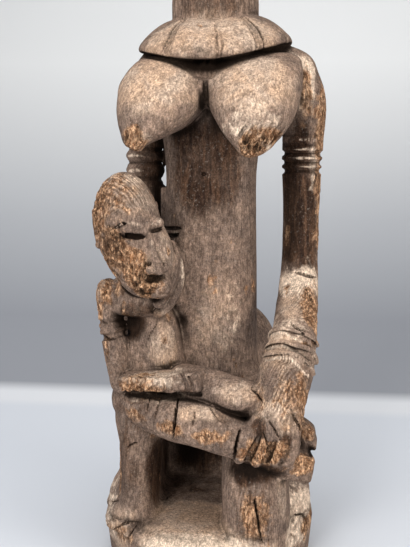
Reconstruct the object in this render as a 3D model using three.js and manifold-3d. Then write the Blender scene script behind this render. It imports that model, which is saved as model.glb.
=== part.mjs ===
// A carved wooden maternity figure: a seated mother holds a child across her lap.
// Mother, child, stool and plinth are cut from one log, so they are one solid.
// Millimetres, +Z up. The origin is the middle of the plinth's underside. The mother faces -Y,
// and left and right in the names below are her own.

import * as THREE from "three";
import { mergeVertices } from "three/addons/utils/BufferGeometryUtils.js";
import Module from "manifold-3d";

const wasm = await Module();
wasm.setup();

// The plinth is a low oval drum, worn round along its upper edge.
const PLINTH_HEIGHT = 45;
const PLINTH_HALF_WIDTH = 86;
const PLINTH_HALF_DEPTH = 93;
const PLINTH_EDGE_RISE = 17;
const PLINTH_EDGE_INSET = 20;
const PLINTH_FOOT_INSET = 3;

// The figure stands on the plinth. Its pose is drawn at DRAWN_HEIGHT and grows with FIGURE_HEIGHT.
const FIGURE_HEIGHT = 595;
const DRAWN_HEIGHT = 595;
const SUNK = 4;

// The stool behind the shins is a waisted drum, hollowed in front between them.
const STOOL_SEAT_RADIUS = 63;
const STOOL_WAIST_RADIUS = 55;
const STOOL_SEAT_HEIGHT = 68;
const STOOL_CENTRE_Y = 20;
const RECESS_LEFT = -40;
const RECESS_RIGHT = 16;
const RECESS_BACK_Y = 34;
const RECESS_HEIGHT = 54;
const RECESS_LENGTH = 120;

// The collar is a domed flange round the foot of the neck, parted by grooves into broad pleats.
const COLLAR_HALF_WIDTH = 61;
const COLLAR_HALF_DEPTH = 62;
const COLLAR_CENTRE = [3.4, 4];
const COLLAR_RIM_HEIGHT = 363;
const COLLAR_RISE = 20;
const COLLAR_FRONT_DROP = 11;
const COLLAR_SIDE_TILT = 2.5;
const COLLAR_THICKNESS = 8;
const COLLAR_PLEATS = 9;
const COLLAR_SCALLOP = 0.03;
const PLEAT_GROOVE = 2.6;
const PLEAT_GROOVE_SHARE = 0.09;

// The torso runs up a little way inside the collar, and its shoulders lie just below the rim.
const TORSO_TOP = COLLAR_RIM_HEIGHT + 5;
const SHOULDER_HEIGHT = COLLAR_RIM_HEIGHT - 20;

// The neck stands in the collar. It is thick and narrows a little towards the head.
const NECK_LENGTH = 133;
const NECK = [
  [3.4, 6, COLLAR_RIM_HEIGHT - 2, 34, 34],
  [3.4, 6, COLLAR_RIM_HEIGHT + NECK_LENGTH * 0.3, 33.5, 33.5],
  [3, 9, COLLAR_RIM_HEIGHT + NECK_LENGTH * 0.55, 30, 31],
  [3, 12, COLLAR_RIM_HEIGHT + NECK_LENGTH, 28, 30],
];

// Heads, from chin to crown. The mother's is broader for its height than the child's.
const MOTHER_HEAD = 150;
const MOTHER_BREADTH = 1.14;
const CHILD_HEAD = 94;
const CREST_RADIUS = 8;

// Cut bands round the arms.
const BAND_RISE = 1.6;
const BAND_WIDTH = 6;

const FIGURE_PLACE = new THREE.Matrix4()
  .makeTranslation(0, 0, PLINTH_HEIGHT)
  .scale(new THREE.Vector3().setScalar(FIGURE_HEIGHT / DRAWN_HEIGHT));

// A closed three.js geometry as a solid that can be joined and cut.
function solid(geometry, place = new THREE.Matrix4()) {
  const bare = geometry.clone().applyMatrix4(place);
  bare.deleteAttribute("normal");
  bare.deleteAttribute("uv");
  const merged = mergeVertices(bare, 1e-3);
  return new wasm.Manifold(
    new wasm.Mesh({
      numProp: 3,
      vertProperties: merged.attributes.position.array,
      triVerts: new Uint32Array(merged.index.array),
    }),
  );
}

// A closed skin over rings of points. place(point, ring, around) sets each point: ring counts from
// 0 at one end to the last at the other, where the ring shrinks to a point, and around is in radians.
function skin(rings, sides, place) {
  const geometry = new THREE.SphereGeometry(1, sides, rings);
  const { position, uv } = geometry.attributes;
  const point = new THREE.Vector3();
  for (let i = 0; i < position.count; i += 1) {
    place(point, Math.round((1 - uv.getY(i)) * rings), (uv.getX(i) % 1) * 2 * Math.PI);
    position.setXYZ(i, point.x, point.y, point.z);
  }
  return geometry;
}

// A smooth path through stations of [x, y, z, first radius, second radius].
function path(stations) {
  const curve = (points) => new THREE.CatmullRomCurve3(points, false, "catmullrom");
  return {
    centres: curve(stations.map(([x, y, z]) => new THREE.Vector3(x, y, z))),
    radii: curve(stations.map(([, , , first, second = first]) => new THREE.Vector3(first, second))),
  };
}

// A limb with round ends along its stations. side is the direction of the first radius, and
// bands are shares of the path where a raised band runs round it.
function limb(stations, { sides = 12, rings = 8, side = [1, 0, 0], capRings = 2, bands = [] } = {}) {
  const { centres, radii } = path(stations);
  const half = BAND_WIDTH / 2 / centres.getLength();
  const plain = Array.from({ length: rings + 1 }, (_, i) => [i / rings, 0]);
  const rows = plain.filter(([t]) => bands.every((at) => Math.abs(t - at) > half * 1.6));
  for (const at of bands) {
    rows.push([at - half, 0], [at, BAND_RISE], [at + half, 0]);
  }
  rows.sort(([a], [b]) => a - b);
  const sideways = new THREE.Vector3(...side);
  const across = new THREE.Vector3();
  const tangent = new THREE.Vector3();
  const other = new THREE.Vector3();
  const last = rows.length - 1 + 2 * capRings;
  return skin(last, sides, (point, ring, around) => {
    const [t, rise] = rows[THREE.MathUtils.clamp(ring - capRings, 0, rows.length - 1)];
    const into = (Math.min(ring, last - ring, capRings) / capRings) * (Math.PI / 2);
    const bulge = Math.cos(into) * (t < 0.5 ? -1 : 1);
    const radius = radii.getPoint(t);
    centres.getTangent(t, tangent);
    other.crossVectors(tangent, sideways).normalize();
    across.crossVectors(other, tangent).normalize();
    centres.getPoint(t, point);
    point.addScaledVector(tangent, bulge * Math.min(radius.x, radius.y));
    point.addScaledVector(across, Math.cos(around) * (radius.x + rise) * Math.sin(into));
    point.addScaledVector(other, -Math.sin(around) * (radius.y + rise) * Math.sin(into));
  });
}

// An upright form with flat ends through levels of [x, y, z, half width, half depth].
// power 2 gives an oval plan, and more gives a squarer one.
function stack(levels, { sides = 24, rings = 6, power = 2 } = {}) {
  const { centres, radii } = path(levels);
  const squared = (value) => Math.sign(value) * Math.abs(value) ** (2 / power);
  return skin(rings + 2, sides, (point, ring, around) => {
    const t = THREE.MathUtils.clamp((ring - 1) / rings, 0, 1);
    const open = ring === 0 || ring === rings + 2 ? 0 : 1;
    const radius = radii.getPoint(t);
    centres.getPoint(t, point);
    point.x += squared(Math.cos(around)) * radius.x * open;
    point.y -= squared(Math.sin(around)) * radius.y * open;
  });
}

// An upright form with flat ends and an oval plan, turned from [z, half width, half depth].
function drum(profile, centreY, sides) {
  const last = profile.length + 1;
  return skin(last, sides, (point, ring, around) => {
    const [z, halfWidth, halfDepth] = profile[THREE.MathUtils.clamp(ring - 1, 0, last - 2)];
    const open = ring === 0 || ring === last ? 0 : 1;
    point.x = Math.cos(around) * halfWidth * open;
    point.y = centreY - Math.sin(around) * halfDepth * open;
    point.z = z;
  });
}

// An ellipsoid, turned by [x, y, z] degrees about its centre.
function ellipsoid(centre, radii, { turn = [0, 0, 0], sides = 16, rings = 10 } = {}) {
  const euler = new THREE.Euler(...turn.map(THREE.MathUtils.degToRad), "ZYX");
  return new THREE.SphereGeometry(1, sides, rings)
    .rotateX(Math.PI / 2)
    .scale(...radii)
    .applyMatrix4(new THREE.Matrix4().makeRotationFromEuler(euler))
    .translate(...centre);
}

function plinth() {
  const shoulder = PLINTH_HEIGHT - PLINTH_EDGE_RISE;
  const edge = [0, 30, 60, 90].map((degrees) => {
    const angle = THREE.MathUtils.degToRad(degrees);
    const inset = PLINTH_EDGE_INSET * (1 - Math.cos(angle));
    const z = shoulder + PLINTH_EDGE_RISE * Math.sin(angle);
    return [z, PLINTH_HALF_WIDTH - inset, PLINTH_HALF_DEPTH - inset];
  });
  const foot = [0, PLINTH_HALF_WIDTH - PLINTH_FOOT_INSET, PLINTH_HALF_DEPTH - PLINTH_FOOT_INSET];
  return drum([foot, ...edge], 0, 36);
}

// The stool's drum and the hollow to cut from it.
function stool() {
  const body = drum(
    [
      [-SUNK, STOOL_SEAT_RADIUS + 4, STOOL_SEAT_RADIUS + 2],
      [STOOL_SEAT_HEIGHT * 0.45, STOOL_WAIST_RADIUS, STOOL_WAIST_RADIUS],
      [STOOL_SEAT_HEIGHT * 0.88, STOOL_SEAT_RADIUS, STOOL_SEAT_RADIUS],
      [STOOL_SEAT_HEIGHT, STOOL_SEAT_RADIUS - 4, STOOL_SEAT_RADIUS - 4],
    ],
    STOOL_CENTRE_Y,
    22,
  );
  const width = RECESS_RIGHT - RECESS_LEFT;
  const recess = new THREE.BoxGeometry(width, RECESS_LENGTH, RECESS_HEIGHT);
  recess.translate(RECESS_LEFT + width / 2, RECESS_BACK_Y - RECESS_LENGTH / 2, RECESS_HEIGHT / 2);
  return { body, recess };
}

const RIGHT_SHIN = [
  [-58, -32, -SUNK, 22, 36],
  [-53, -32, 14, 15, 35],
  [-52, -31, 40, 15, 35],
  [-51, -28, 86, 16, 36],
];
const LEFT_SHIN = [
  [41, -48, -SUNK, 27, 42],
  [41, -49, 12, 26, 40],
  [40, -47, 40, 25.5, 38],
  [41, -40, 84, 25, 36],
];
const RIGHT_THIGH = [
  [-34, 30, 82, 27],
  [-44, -5, 80, 25],
  [-48, -42, 76, 21],
];
const LEFT_THIGH = [
  [34, 30, 82, 27],
  [40, -5, 80, 26],
  [42, -52, 72, 24],
];

function lowerBody() {
  return [
    stack(RIGHT_SHIN, { sides: 14, rings: 4, power: 2.8 }),
    stack(LEFT_SHIN, { sides: 14, rings: 4, power: 2.3 }),
    limb(RIGHT_THIGH, { rings: 3 }),
    limb(LEFT_THIGH, { rings: 3 }),
    ellipsoid([-24, 38, 100], [32, 36, 52], { sides: 14, rings: 8 }),
    ellipsoid([24, 38, 100], [32, 36, 52], { sides: 14, rings: 8 }),
    ellipsoid([0, 30, 100], [44, 40, 46], { sides: 14, rings: 8 }),
  ];
}

const TORSO = [
  [1.5, 6, 80, 40, 36],
  [1.5, 3, 120, 37.5, 35],
  [1.5, 1, 160, 36.7, 35],
  [0.3, 0, 218, 36.7, 35],
  [0, 0, 265, 37.4, 34],
  [2, 2, 300, 42, 32],
  [6, 4, SHOULDER_HEIGHT - 17, 56, 30],
  [8, 5, SHOULDER_HEIGHT, 68, 27],
  [8, 6, TORSO_TOP - 12, 62, 23],
  [5, 6, TORSO_TOP, 44, 20],
];
const RIGHT_BREAST = [
  [-28, -8, 335, 32, 26],
  [-32, -26, 323, 34, 29],
  [-36, -42, 312, 28, 26.5],
  [-41, -60, 298, 18, 17],
  [-44, -71, 289, 9, 9],
];
const LEFT_BREAST = [
  [35, -8, 335, 35, 27],
  [36, -26, 321, 34.5, 31],
  [36, -45, 308, 29, 30],
  [36.5, -63, 292, 18, 19],
  [36.5, -76, 284, 9, 9],
];

function upperBody() {
  return [
    stack(TORSO, { sides: 20, rings: 8 }),
    limb(RIGHT_BREAST, { sides: 16, rings: 4 }),
    limb(LEFT_BREAST, { sides: 16, rings: 4 }),
  ];
}

// How far the collar's rim stands above or below its height, going round.
function rimShift(around) {
  const front = Math.max(0, Math.sin(around));
  return COLLAR_SIDE_TILT * Math.cos(around) - COLLAR_FRONT_DROP * front ** 2;
}

function collar() {
  const [x, y] = COLLAR_CENTRE;
  // Each row is the share of the way from the axis to the rim, and the height above the rim.
  const rows = [
    [0.5, -COLLAR_THICKNESS],
    [0.93, -COLLAR_THICKNESS],
    [0.985, -COLLAR_THICKNESS * 0.4],
    [1, 0],
    [0.88, COLLAR_RISE * 0.55],
    [0.58, COLLAR_RISE],
  ];
  const grooved = 3;
  const stops = [0, PLEAT_GROOVE_SHARE, 0.36, 0.64, 1 - PLEAT_GROOVE_SHARE];
  const last = rows.length + 1;
  return skin(last, COLLAR_PLEATS * stops.length, (point, ring, even) => {
    const column = Math.round((even / (2 * Math.PI)) * COLLAR_PLEATS * stops.length);
    const stop = column % stops.length;
    const pleat = (column - stop) / stops.length + stops[stop];
    const around = Math.PI / 2 + (pleat / COLLAR_PLEATS) * 2 * Math.PI;
    const [share, rise] = rows[THREE.MathUtils.clamp(ring - 1, 0, rows.length - 1)];
    const open = ring === 0 || ring === last ? 0 : 1;
    const bow = Math.sin(stops[stop] * Math.PI) - 1;
    const cut = stop === 0 && ring > grooved ? PLEAT_GROOVE : 0;
    const reach = share * (1 + COLLAR_SCALLOP * bow * Math.min(1, 3 * (share - 0.56)));
    const tilt = rimShift(around) * THREE.MathUtils.smoothstep(share, 0.5, 0.95);
    point.x = x + Math.cos(around) * (COLLAR_HALF_WIDTH * reach - cut * 0.6) * open;
    point.y = y - Math.sin(around) * (COLLAR_HALF_DEPTH * reach - cut * 0.6) * open;
    point.z = COLLAR_RIM_HEIGHT + rise + (tilt - cut * 0.8) * open;
  });
}

const CRANIUM = { centre: [0, 0.045, 0.12], radii: [0.25, 0.3, 0.38] };
const JAW = [
  [0, 0, 0.02, 0.2, 0.23],
  [0, -0.045, -0.18, 0.205, 0.21],
  [0, -0.08, -0.36, 0.155, 0.15],
];
const NOSE = [
  [0, -0.235, 0.08, 0.035],
  [0, -0.262, -0.08, 0.042],
  [0, -0.268, -0.26, 0.064],
];

// The forms of a head one unit high, facing -Y, about the middle of its height.
function headForms(sides) {
  const forms = [
    ellipsoid(CRANIUM.centre, CRANIUM.radii, { sides, rings: sides - 6 }),
    limb(JAW, { sides: sides - 2, rings: 3 }),
    limb(NOSE, { sides: 6, rings: 3 }),
    ellipsoid([0, -0.212, -0.415], [0.075, 0.035, 0.032], { sides: 8, rings: 6 }),
  ];
  for (const hand of [-1, 1]) {
    forms.push(
      ellipsoid([hand * 0.125, -0.215, 0.055], [0.088, 0.055, 0.045], {
        turn: [0, hand * 8, hand * 24],
        sides: 8,
        rings: 6,
      }),
      ellipsoid([hand * 0.25, 0.12, 0.05], [0.04, 0.08, 0.13], { sides: 6, rings: 6 }),
    );
  }
  return forms;
}

// A head of the given height and breadth, turned by yaw and then leant by roll, in degrees.
function placedHead(size, centre, { breadth = 1, yaw = 0, roll = 0, sides }) {
  const turn = new THREE.Euler(0, THREE.MathUtils.degToRad(roll), THREE.MathUtils.degToRad(yaw), "YZX");
  const place = new THREE.Matrix4()
    .makeTranslation(...centre)
    .multiply(new THREE.Matrix4().makeRotationFromEuler(turn))
    .scale(new THREE.Vector3(size * breadth, size, size));
  return headForms(sides).map((form) => form.applyMatrix4(place));
}

const MOTHER_HEAD_CENTRE = [3, -1, COLLAR_RIM_HEIGHT + NECK_LENGTH + 11];

// A low crest runs over the cranium from the brow to the nape.
function crest() {
  const [x, y, z] = MOTHER_HEAD_CENTRE;
  const [, middleY, middleZ] = CRANIUM.centre;
  const [, radiusY, radiusZ] = CRANIUM.radii;
  const stations = [30, 65, 100, 135, 170, 200].map((degrees) => {
    const angle = THREE.MathUtils.degToRad(degrees);
    return [
      x,
      y + MOTHER_HEAD * (middleY - radiusY * Math.cos(angle)),
      z + MOTHER_HEAD * (middleZ + radiusZ * Math.sin(angle)),
      CREST_RADIUS,
    ];
  });
  return limb(stations, { sides: 8, rings: 7 });
}

function motherHead() {
  return [
    stack(NECK, { sides: 22, rings: 3 }),
    ...placedHead(MOTHER_HEAD, MOTHER_HEAD_CENTRE, { breadth: MOTHER_BREADTH, sides: 18 }),
    crest(),
  ];
}

const LEFT_ARM = [
  [65, 4, SHOULDER_HEIGHT - 2, 18.5],
  [73, 6, SHOULDER_HEIGHT - 25, 18],
  [73, 6, 290, 16.7],
  [72.6, 6, 268, 16],
  [72.6, 5, 240, 14.8],
  [72.2, 4, 205, 14.6],
  [71.8, 0, 181, 15],
  [70, -20, 160, 15.6],
  [66, -42, 142, 16.6],
  [61, -60, 124, 17],
  [59, -70, 110, 17],
];
const LEFT_ARM_BANDS = [0.227, 0.259, 0.291, 0.323, 0.832, 0.875, 0.918];
const LEFT_PALM = [
  [60, -66, 117, 17, 15],
  [57, -76, 104, 20, 13],
  [52, -85, 80, 21, 10],
];
const RIGHT_ARM = [
  [-47, 5, SHOULDER_HEIGHT - 5, 18],
  [-53, 6, SHOULDER_HEIGHT - 31, 16],
  [-54, 6, 282, 14.6],
  [-55, 6, 240, 13.8],
  [-59, 8, 190, 14],
  [-64, 4, 140, 14.5],
  [-61, -16, 102, 15],
];
const RIGHT_ARM_BANDS = [0.315, 0.37];
const RIGHT_FOREARM = [
  [-60, -14, 96, 14],
  [-58, -44, 88, 14],
  [-38, -62, 86, 15],
  [-18, -73, 83, 16],
  [2, -79, 81, 16],
  [22, -82, 76, 15.5],
  [44, -80, 67, 14],
  [64, -74, 56, 13],
  [77, -67, 50, 10],
];

// The fingers of the mother's left hand lie side by side over her right wrist.
function leftFingers() {
  return Array.from({ length: 4 }, (_, i) => [
    [43.5 + 9 * i, -87 + 1.5 * i, 91 - 0.5 * i, 6.4],
    [36 + 10 * i, -94.5 + 2 * i, 74 - 1.5 * i, 6.2],
    [31 + 11 * i, -93.5 + 2.5 * i, 62 - i, 5.2],
  ]).map((stations) => limb(stations, { sides: 6, rings: 3 }));
}

function arms() {
  return [
    limb(LEFT_ARM, { rings: 13, bands: LEFT_ARM_BANDS }),
    limb(LEFT_PALM, { rings: 2 }),
    ...leftFingers(),
    limb(RIGHT_ARM, { sides: 10, rings: 8, bands: RIGHT_ARM_BANDS }),
    limb(RIGHT_FOREARM, { rings: 8 }),
  ];
}

const CHILD_ARM = [
  [-76, -34, 170, 9],
  [-73, -39, 156, 10],
  [-69, -44, 135, 10],
  [-66, -47, 112, 10],
  [-62, -50, 106, 10],
];
const CHILD_FOREARM = [
  [-60, -52, 107, 9],
  [-46, -60, 107, 9.5],
  [-28, -70, 109, 10],
  [-10, -76, 114, 12],
  [2, -78, 113, 8.5],
];
const CHILD_TRUNK = [
  [-36, -34, 88, 24, 24],
  [-36, -34, 110, 23, 22],
  [-35, -35, 135, 21, 20],
  [-36, -36, 158, 22, 20],
];
const CHILD_CHEST = [
  [-43, -41, 150, 18, 18],
  [-44, -41, 158, 28, 27],
  [-43, -40, 180, 32, 29],
  [-42, -38, 204, 28, 25],
  [-42, -40, 222, 15, 15],
];
const CHILD_LEG = [
  [-12, -50, 103, 15],
  [10, -62, 103, 14],
  [28, -72, 101, 13.5],
  [46, -71, 92, 12],
  [66, -63, 79, 11],
  [76, -59, 71, 10],
];

function child() {
  return [
    stack(CHILD_CHEST, { sides: 14, rings: 5 }),
    ellipsoid([27, -73, 101], [21, 14, 12], { sides: 12, rings: 7 }),
    stack(CHILD_TRUNK, { sides: 14, rings: 3, power: 2.6 }),
    limb(CHILD_ARM, { sides: 8, rings: 5 }),
    limb(CHILD_FOREARM, { sides: 8, rings: 5 }),
    limb(CHILD_LEG, { sides: 10, rings: 6 }),
    ...placedHead(CHILD_HEAD, [-50, -65, 221], { yaw: 38, roll: -13, sides: 14 }),
  ];
}

function carve() {
  const joined = (forms) => wasm.Manifold.union(forms.map((form) => solid(form, FIGURE_PLACE)));
  const { body, recess } = stool();
  const seat = joined([body]).subtract(joined([recess]));
  const figure = joined([
    ...lowerBody(),
    ...upperBody(),
    collar(),
    ...motherHead(),
    ...arms(),
    ...child(),
  ]);
  return solid(plinth()).add(seat).add(figure);
}

// The finished solid as a three.js geometry.
function geometryOf(carved) {
  const { vertProperties, triVerts } = carved.getMesh();
  const geometry = new THREE.BufferGeometry();
  geometry.setAttribute("position", new THREE.BufferAttribute(new Float32Array(vertProperties), 3));
  geometry.setIndex(new THREE.BufferAttribute(new Uint32Array(triVerts), 1));
  geometry.computeVertexNormals();
  return geometry;
}

const oldWood = new THREE.MeshStandardMaterial({
  color: new THREE.Color(0.3, 0.22, 0.16),
  roughness: 0.85,
  metalness: 0,
});

const figure = new THREE.Mesh(geometryOf(carve()), oldWood);
figure.name = "maternity_figure";

const part = new THREE.Group();
part.add(figure);

export default part;
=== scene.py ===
"""Looks of a carved maternity figure: an old, weathered statue cut from one log.

The statue is one piece of wood, so it is sculpted as one block: every form is added to a grid
of distances or cut from it, the grid gives a mesh, and the mesh gets its growth rings, fibre,
cracks and worn places. The drawing is in millimetres above the plinth's top, with the mother
facing -Y, and it is laid into the box that the frame gives. Left and right are the mother's.
"""

import logging
import math
from abc import ABC, abstractmethod
from dataclasses import dataclass, field
from enum import IntEnum

import bpy
import numpy as np
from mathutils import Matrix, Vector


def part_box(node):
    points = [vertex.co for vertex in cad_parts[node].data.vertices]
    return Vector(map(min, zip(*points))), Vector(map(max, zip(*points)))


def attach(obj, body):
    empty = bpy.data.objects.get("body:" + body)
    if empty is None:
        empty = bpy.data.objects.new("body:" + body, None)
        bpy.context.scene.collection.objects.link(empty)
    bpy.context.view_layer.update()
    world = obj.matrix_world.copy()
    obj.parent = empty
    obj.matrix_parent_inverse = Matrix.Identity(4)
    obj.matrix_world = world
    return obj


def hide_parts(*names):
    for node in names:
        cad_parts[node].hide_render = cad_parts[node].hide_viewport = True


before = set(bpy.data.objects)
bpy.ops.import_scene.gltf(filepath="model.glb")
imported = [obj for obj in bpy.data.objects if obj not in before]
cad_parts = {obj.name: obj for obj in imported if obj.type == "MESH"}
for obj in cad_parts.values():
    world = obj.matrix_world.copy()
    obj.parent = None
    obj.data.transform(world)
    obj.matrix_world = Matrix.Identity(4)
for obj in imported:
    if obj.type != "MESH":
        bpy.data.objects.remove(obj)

import openvdb
from mathutils import Vector

LOG = logging.getLogger("maternity_figure")

NODE = "maternity_figure"
PIECE = "maternity_carving"

# Drawn millimetres. The plinth's top is at height 0. FAR is the greatest distance that the grid
# keeps. The mesh stays BOX_MARGIN inside the solid's box, and its lowest FLAT_BAND is flat.
PLINTH_HEIGHT = 45.0
DRAWN_TOP = 588.77
FAR = 14.0
FINE_PITCH = 1.0
BOX_MARGIN = 0.15
FLAT_BAND = 0.6

# The mesh's limit, and the strength of the vertex group that spares its small shapes.
MOST_TRIANGLES = 194000
FINE_COST = 3e-5

# Millimetres to a metre.
PER_METRE = 1000.0

# How far out and in the surface is probed, in millimetres, to find hidden places, which get painted
# shade, and edges, which get lighter as worn edges with a painted highlight.
HIDDEN_REACH = (2.5, 6.0, 12.0)
EDGE_REACH = (2.0, 4.0)

# Multipliers of the hash that gives each cell of the noise its value.
CELL_MIX = (np.uint32(73856093), np.uint32(19349663), np.uint32(83492791))

Point = tuple[float, float, float]
Stations = list[tuple[float, ...]]
Array = np.ndarray
Node = bpy.types.Node
Socket = bpy.types.NodeSocket


def smoothstep(low: float, high: float, value: Array) -> Array:
    """Gives the smooth rise from 0 at low to 1 at high."""
    t = np.clip((value - low) / (high - low), 0.0, 1.0)
    return t * t * (3.0 - 2.0 * t)


def soft_least(first: Array, second: Array, blend: float) -> Array:
    """Joins two distance fields.

    Args:
        first: distances to one form.
        second: distances to the other form.
        blend: width of the fillet between the two, in millimetres.

    Returns:
        The lesser distance, eased where the two are about equal and near a surface.
    """
    least = np.minimum(first, second)
    if blend <= 0.0:
        return least
    overlap = np.maximum(blend - np.abs(first - second), 0.0)
    near = np.clip((FAR - least) / (0.5 * FAR), 0.0, 1.0)
    return least - near * overlap * overlap / (4.0 * blend)


def smooth_path(stations: Stations, step: float) -> Array:
    """Draws a uniform Catmull-Rom curve through stations.

    Args:
        stations: rows of numbers, with a place in the first three.
        step: the most that two rows of the result lie apart, in millimetres.

    Returns:
        Rows along the curve, ends included.
    """
    rows = np.array(stations, float)
    ends = np.vstack([2 * rows[0] - rows[1], rows, 2 * rows[-1] - rows[-2]])
    out = []
    for i in range(len(rows) - 1):
        a, b, c, d = ends[i:i + 4]
        count = max(1, math.ceil(np.linalg.norm((c - b)[:3]) / step))
        t = (np.arange(count) / count)[:, None]
        out.append(
            b + 0.5 * t * (c - a)
            + t ** 2 * (a - 2.5 * b + 2 * c - 0.5 * d)
            + t ** 3 * (-0.5 * a + 1.5 * b - 1.5 * c + 0.5 * d)
        )
    return np.vstack([*out, rows[-1:]])


def halfway(first: Point, second: Point) -> Point:
    """Gives the place in the middle between two places."""
    return tuple((p + q) / 2 for p, q in zip(first, second))


def turning(x: float = 0.0, y: float = 0.0, z: float = 0.0) -> Array:
    """Gives the matrix that turns by x, then y, then z degrees about the fixed axes."""
    (cx, sx), (cy, sy), (cz, sz) = (
        (math.cos(math.radians(a)), math.sin(math.radians(a))) for a in (x, y, z)
    )
    about_x = np.array([[1, 0, 0], [0, cx, -sx], [0, sx, cx]])
    about_y = np.array([[cy, 0, sy], [0, 1, 0], [-sy, 0, cy]])
    about_z = np.array([[cz, -sz, 0], [sz, cz, 0], [0, 0, 1]])
    return about_z @ about_y @ about_x


@dataclass(frozen=True)
class Grid:
    """Places of a box of voxels, as one line of coordinates for each axis."""

    x: Array
    y: Array
    z: Array

    @property
    def shape(self) -> tuple[int, int, int]:
        """Number of places along each axis."""
        return len(self.x), len(self.y), len(self.z)

    @property
    def axes(self) -> tuple[Array, Array, Array]:
        """The three lines, shaped so that they spread over the box."""
        return self.x[:, None, None], self.y[None, :, None], self.z[None, None, :]

    def part(self, low: Array, high: Array) -> tuple[tuple[slice, ...], "Grid"]:
        """Finds the part of the grid between two corners.

        Args:
            low: lowest corner of the part.
            high: highest corner of the part.

        Returns:
            The slices that cut the part from an array of the grid, and the part.
        """
        cuts, lines = [], []
        for line, start, stop in zip((self.x, self.y, self.z), low, high):
            cut = slice(int(np.searchsorted(line, start)), int(np.searchsorted(line, stop)))
            cuts.append(cut)
            lines.append(line[cut])
        return tuple(cuts), Grid(*lines)


class Form(ABC):
    """A shape that can be added to the block or cut from it."""

    @abstractmethod
    def reach(self) -> tuple[Array, Array]:
        """Lowest and highest corner of the form."""

    @abstractmethod
    def distance(self, grid: Grid) -> Array:
        """Distance from each place of the grid to the form, negative inside."""


@dataclass(frozen=True)
class Ellipsoid(Form):
    """A ball of three radii, turned by a matrix about its centre.

    bend carries its lower half forwards, by that much of the square of the height.
    """

    centre: Point
    radii: Point
    turn: Array = field(default_factory=lambda: np.eye(3))
    bend: float = 0.0

    def reach(self) -> tuple[Array, Array]:
        """Lowest and highest corner of the form."""
        half = np.sqrt(((self.turn * np.array(self.radii)) ** 2).sum(1))
        return np.array(self.centre) - half, np.array(self.centre) + half

    def distance(self, grid: Grid) -> Array:
        """Distance from each place of the grid to the form, negative inside."""
        offsets = [axis - middle for axis, middle in zip(grid.axes, self.centre)]
        near, slope = np.float32(0), np.float32(0)
        own = [sum(offsets[i] * np.float32(self.turn[i, k]) for i in range(3)) for k in range(3)]
        if self.bend:
            own[1] = own[1] + np.float32(self.bend) * np.minimum(own[2], 0.0) ** 2
        for along, radius in zip(own, self.radii):
            near = near + (along / np.float32(radius)) ** 2
            slope = slope + (along / np.float32(radius * radius)) ** 2
        near = np.sqrt(near)
        return near * (near - 1) / np.maximum(np.sqrt(slope), 1e-4)


@dataclass(frozen=True)
class Limb(Form):
    """A round or flattened limb through stations of x, y, z, first and second radius."""

    stations: Stations
    side: Point = (1.0, 0.0, 0.0)
    step: float = 6.0

    def rows(self) -> Array:
        """Gives the places and radii along the limb."""
        full = [(*s[:3], s[3], s[4] if len(s) > 4 else s[3]) for s in self.stations]
        return smooth_path(full, self.step)

    def reach(self) -> tuple[Array, Array]:
        """Lowest and highest corner of the form."""
        rows = self.rows()
        most = rows[:, 3:].max(1)[:, None]
        return (rows[:, :3] - most).min(0), (rows[:, :3] + most).max(0)

    def distance(self, grid: Grid) -> Array:
        """Distance from each place of the grid to the form, negative inside."""
        out = np.full(grid.shape, FAR, np.float32)
        rows = self.rows()
        for a, b in zip(rows[:-1], rows[1:]):
            room = max(a[3:].max(), b[3:].max()) + FAR
            low = np.minimum(a[:3], b[:3]) - room
            high = np.maximum(a[:3], b[:3]) + room
            cuts, part = grid.part(low, high)
            if min(part.shape) > 0:
                out[cuts] = np.minimum(out[cuts], self.stretch(part, a, b))
        return out

    def stretch(self, grid: Grid, a: Array, b: Array) -> Array:
        """Distance from each place of the grid to the limb between two of its rows."""
        along = (b - a)[:3]
        length = max(float(np.linalg.norm(along)), 1e-6)
        way = along / length
        off = [axis - np.float32(start) for axis, start in zip(grid.axes, a[:3])]
        t = sum(o * np.float32(w / length) for o, w in zip(off, way))
        t = np.clip(t, 0.0, 1.0)
        q = [o - t * np.float32(v) for o, v in zip(off, along)]
        square = q[0] ** 2 + q[1] ** 2 + q[2] ** 2
        first = np.float32(a[3]) + t * np.float32(b[3] - a[3])
        if abs(a[3] - a[4]) + abs(b[3] - b[4]) < 1e-3:
            return np.sqrt(square) - first
        second = np.float32(a[4]) + t * np.float32(b[4] - a[4])
        side = np.array(self.side) - way * float(np.dot(self.side, way))
        side = side / max(float(np.linalg.norm(side)), 1e-6)
        beside = sum(c * np.float32(s) for c, s in zip(q, side)) ** 2
        rest = np.maximum(square - beside, 0.0)
        near = np.sqrt(beside / first ** 2 + rest / second ** 2)
        slope = np.sqrt(beside / first ** 4 + rest / second ** 4)
        return near * (near - 1) / np.maximum(slope, 1e-4)

    def ring(self, place: Point, thick: float, lift: float = 0.0,
             start: float = 0.0, stop: float = 360.0) -> "Limb":
        """Makes a thin ring round the limb, such as a cut line or a raised band.

        Args:
            place: a place near the limb's axis, which the ring goes round.
            thick: radius of the ring's own section, in millimetres.
            lift: how far the ring's centre line lies outside the limb's skin.
            start: angle where the ring starts, in degrees from the limb's side.
            stop: angle where it stops.

        Returns:
            The ring, as a limb.
        """
        rows = self.rows()
        at = int(np.argmin(np.linalg.norm(rows[:, :3] - np.array(place), axis=1)))
        at = min(at, len(rows) - 2)
        row, way = rows[at], (rows[at + 1] - rows[at])[:3]
        way = way / np.linalg.norm(way)
        middle = row[:3] + way * float(np.dot(np.array(place) - row[:3], way))
        side = np.array(self.side) - way * float(np.dot(self.side, way))
        side = side / np.linalg.norm(side)
        other = np.cross(way, side)
        loop = []
        for angle in np.radians(np.linspace(start, stop, 15)):
            spot = middle + math.cos(angle) * side * (row[3] + lift)
            spot = spot + math.sin(angle) * other * (row[4] + lift)
            loop.append((*spot, thick))
        return Limb(loop, step=3.0)


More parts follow.
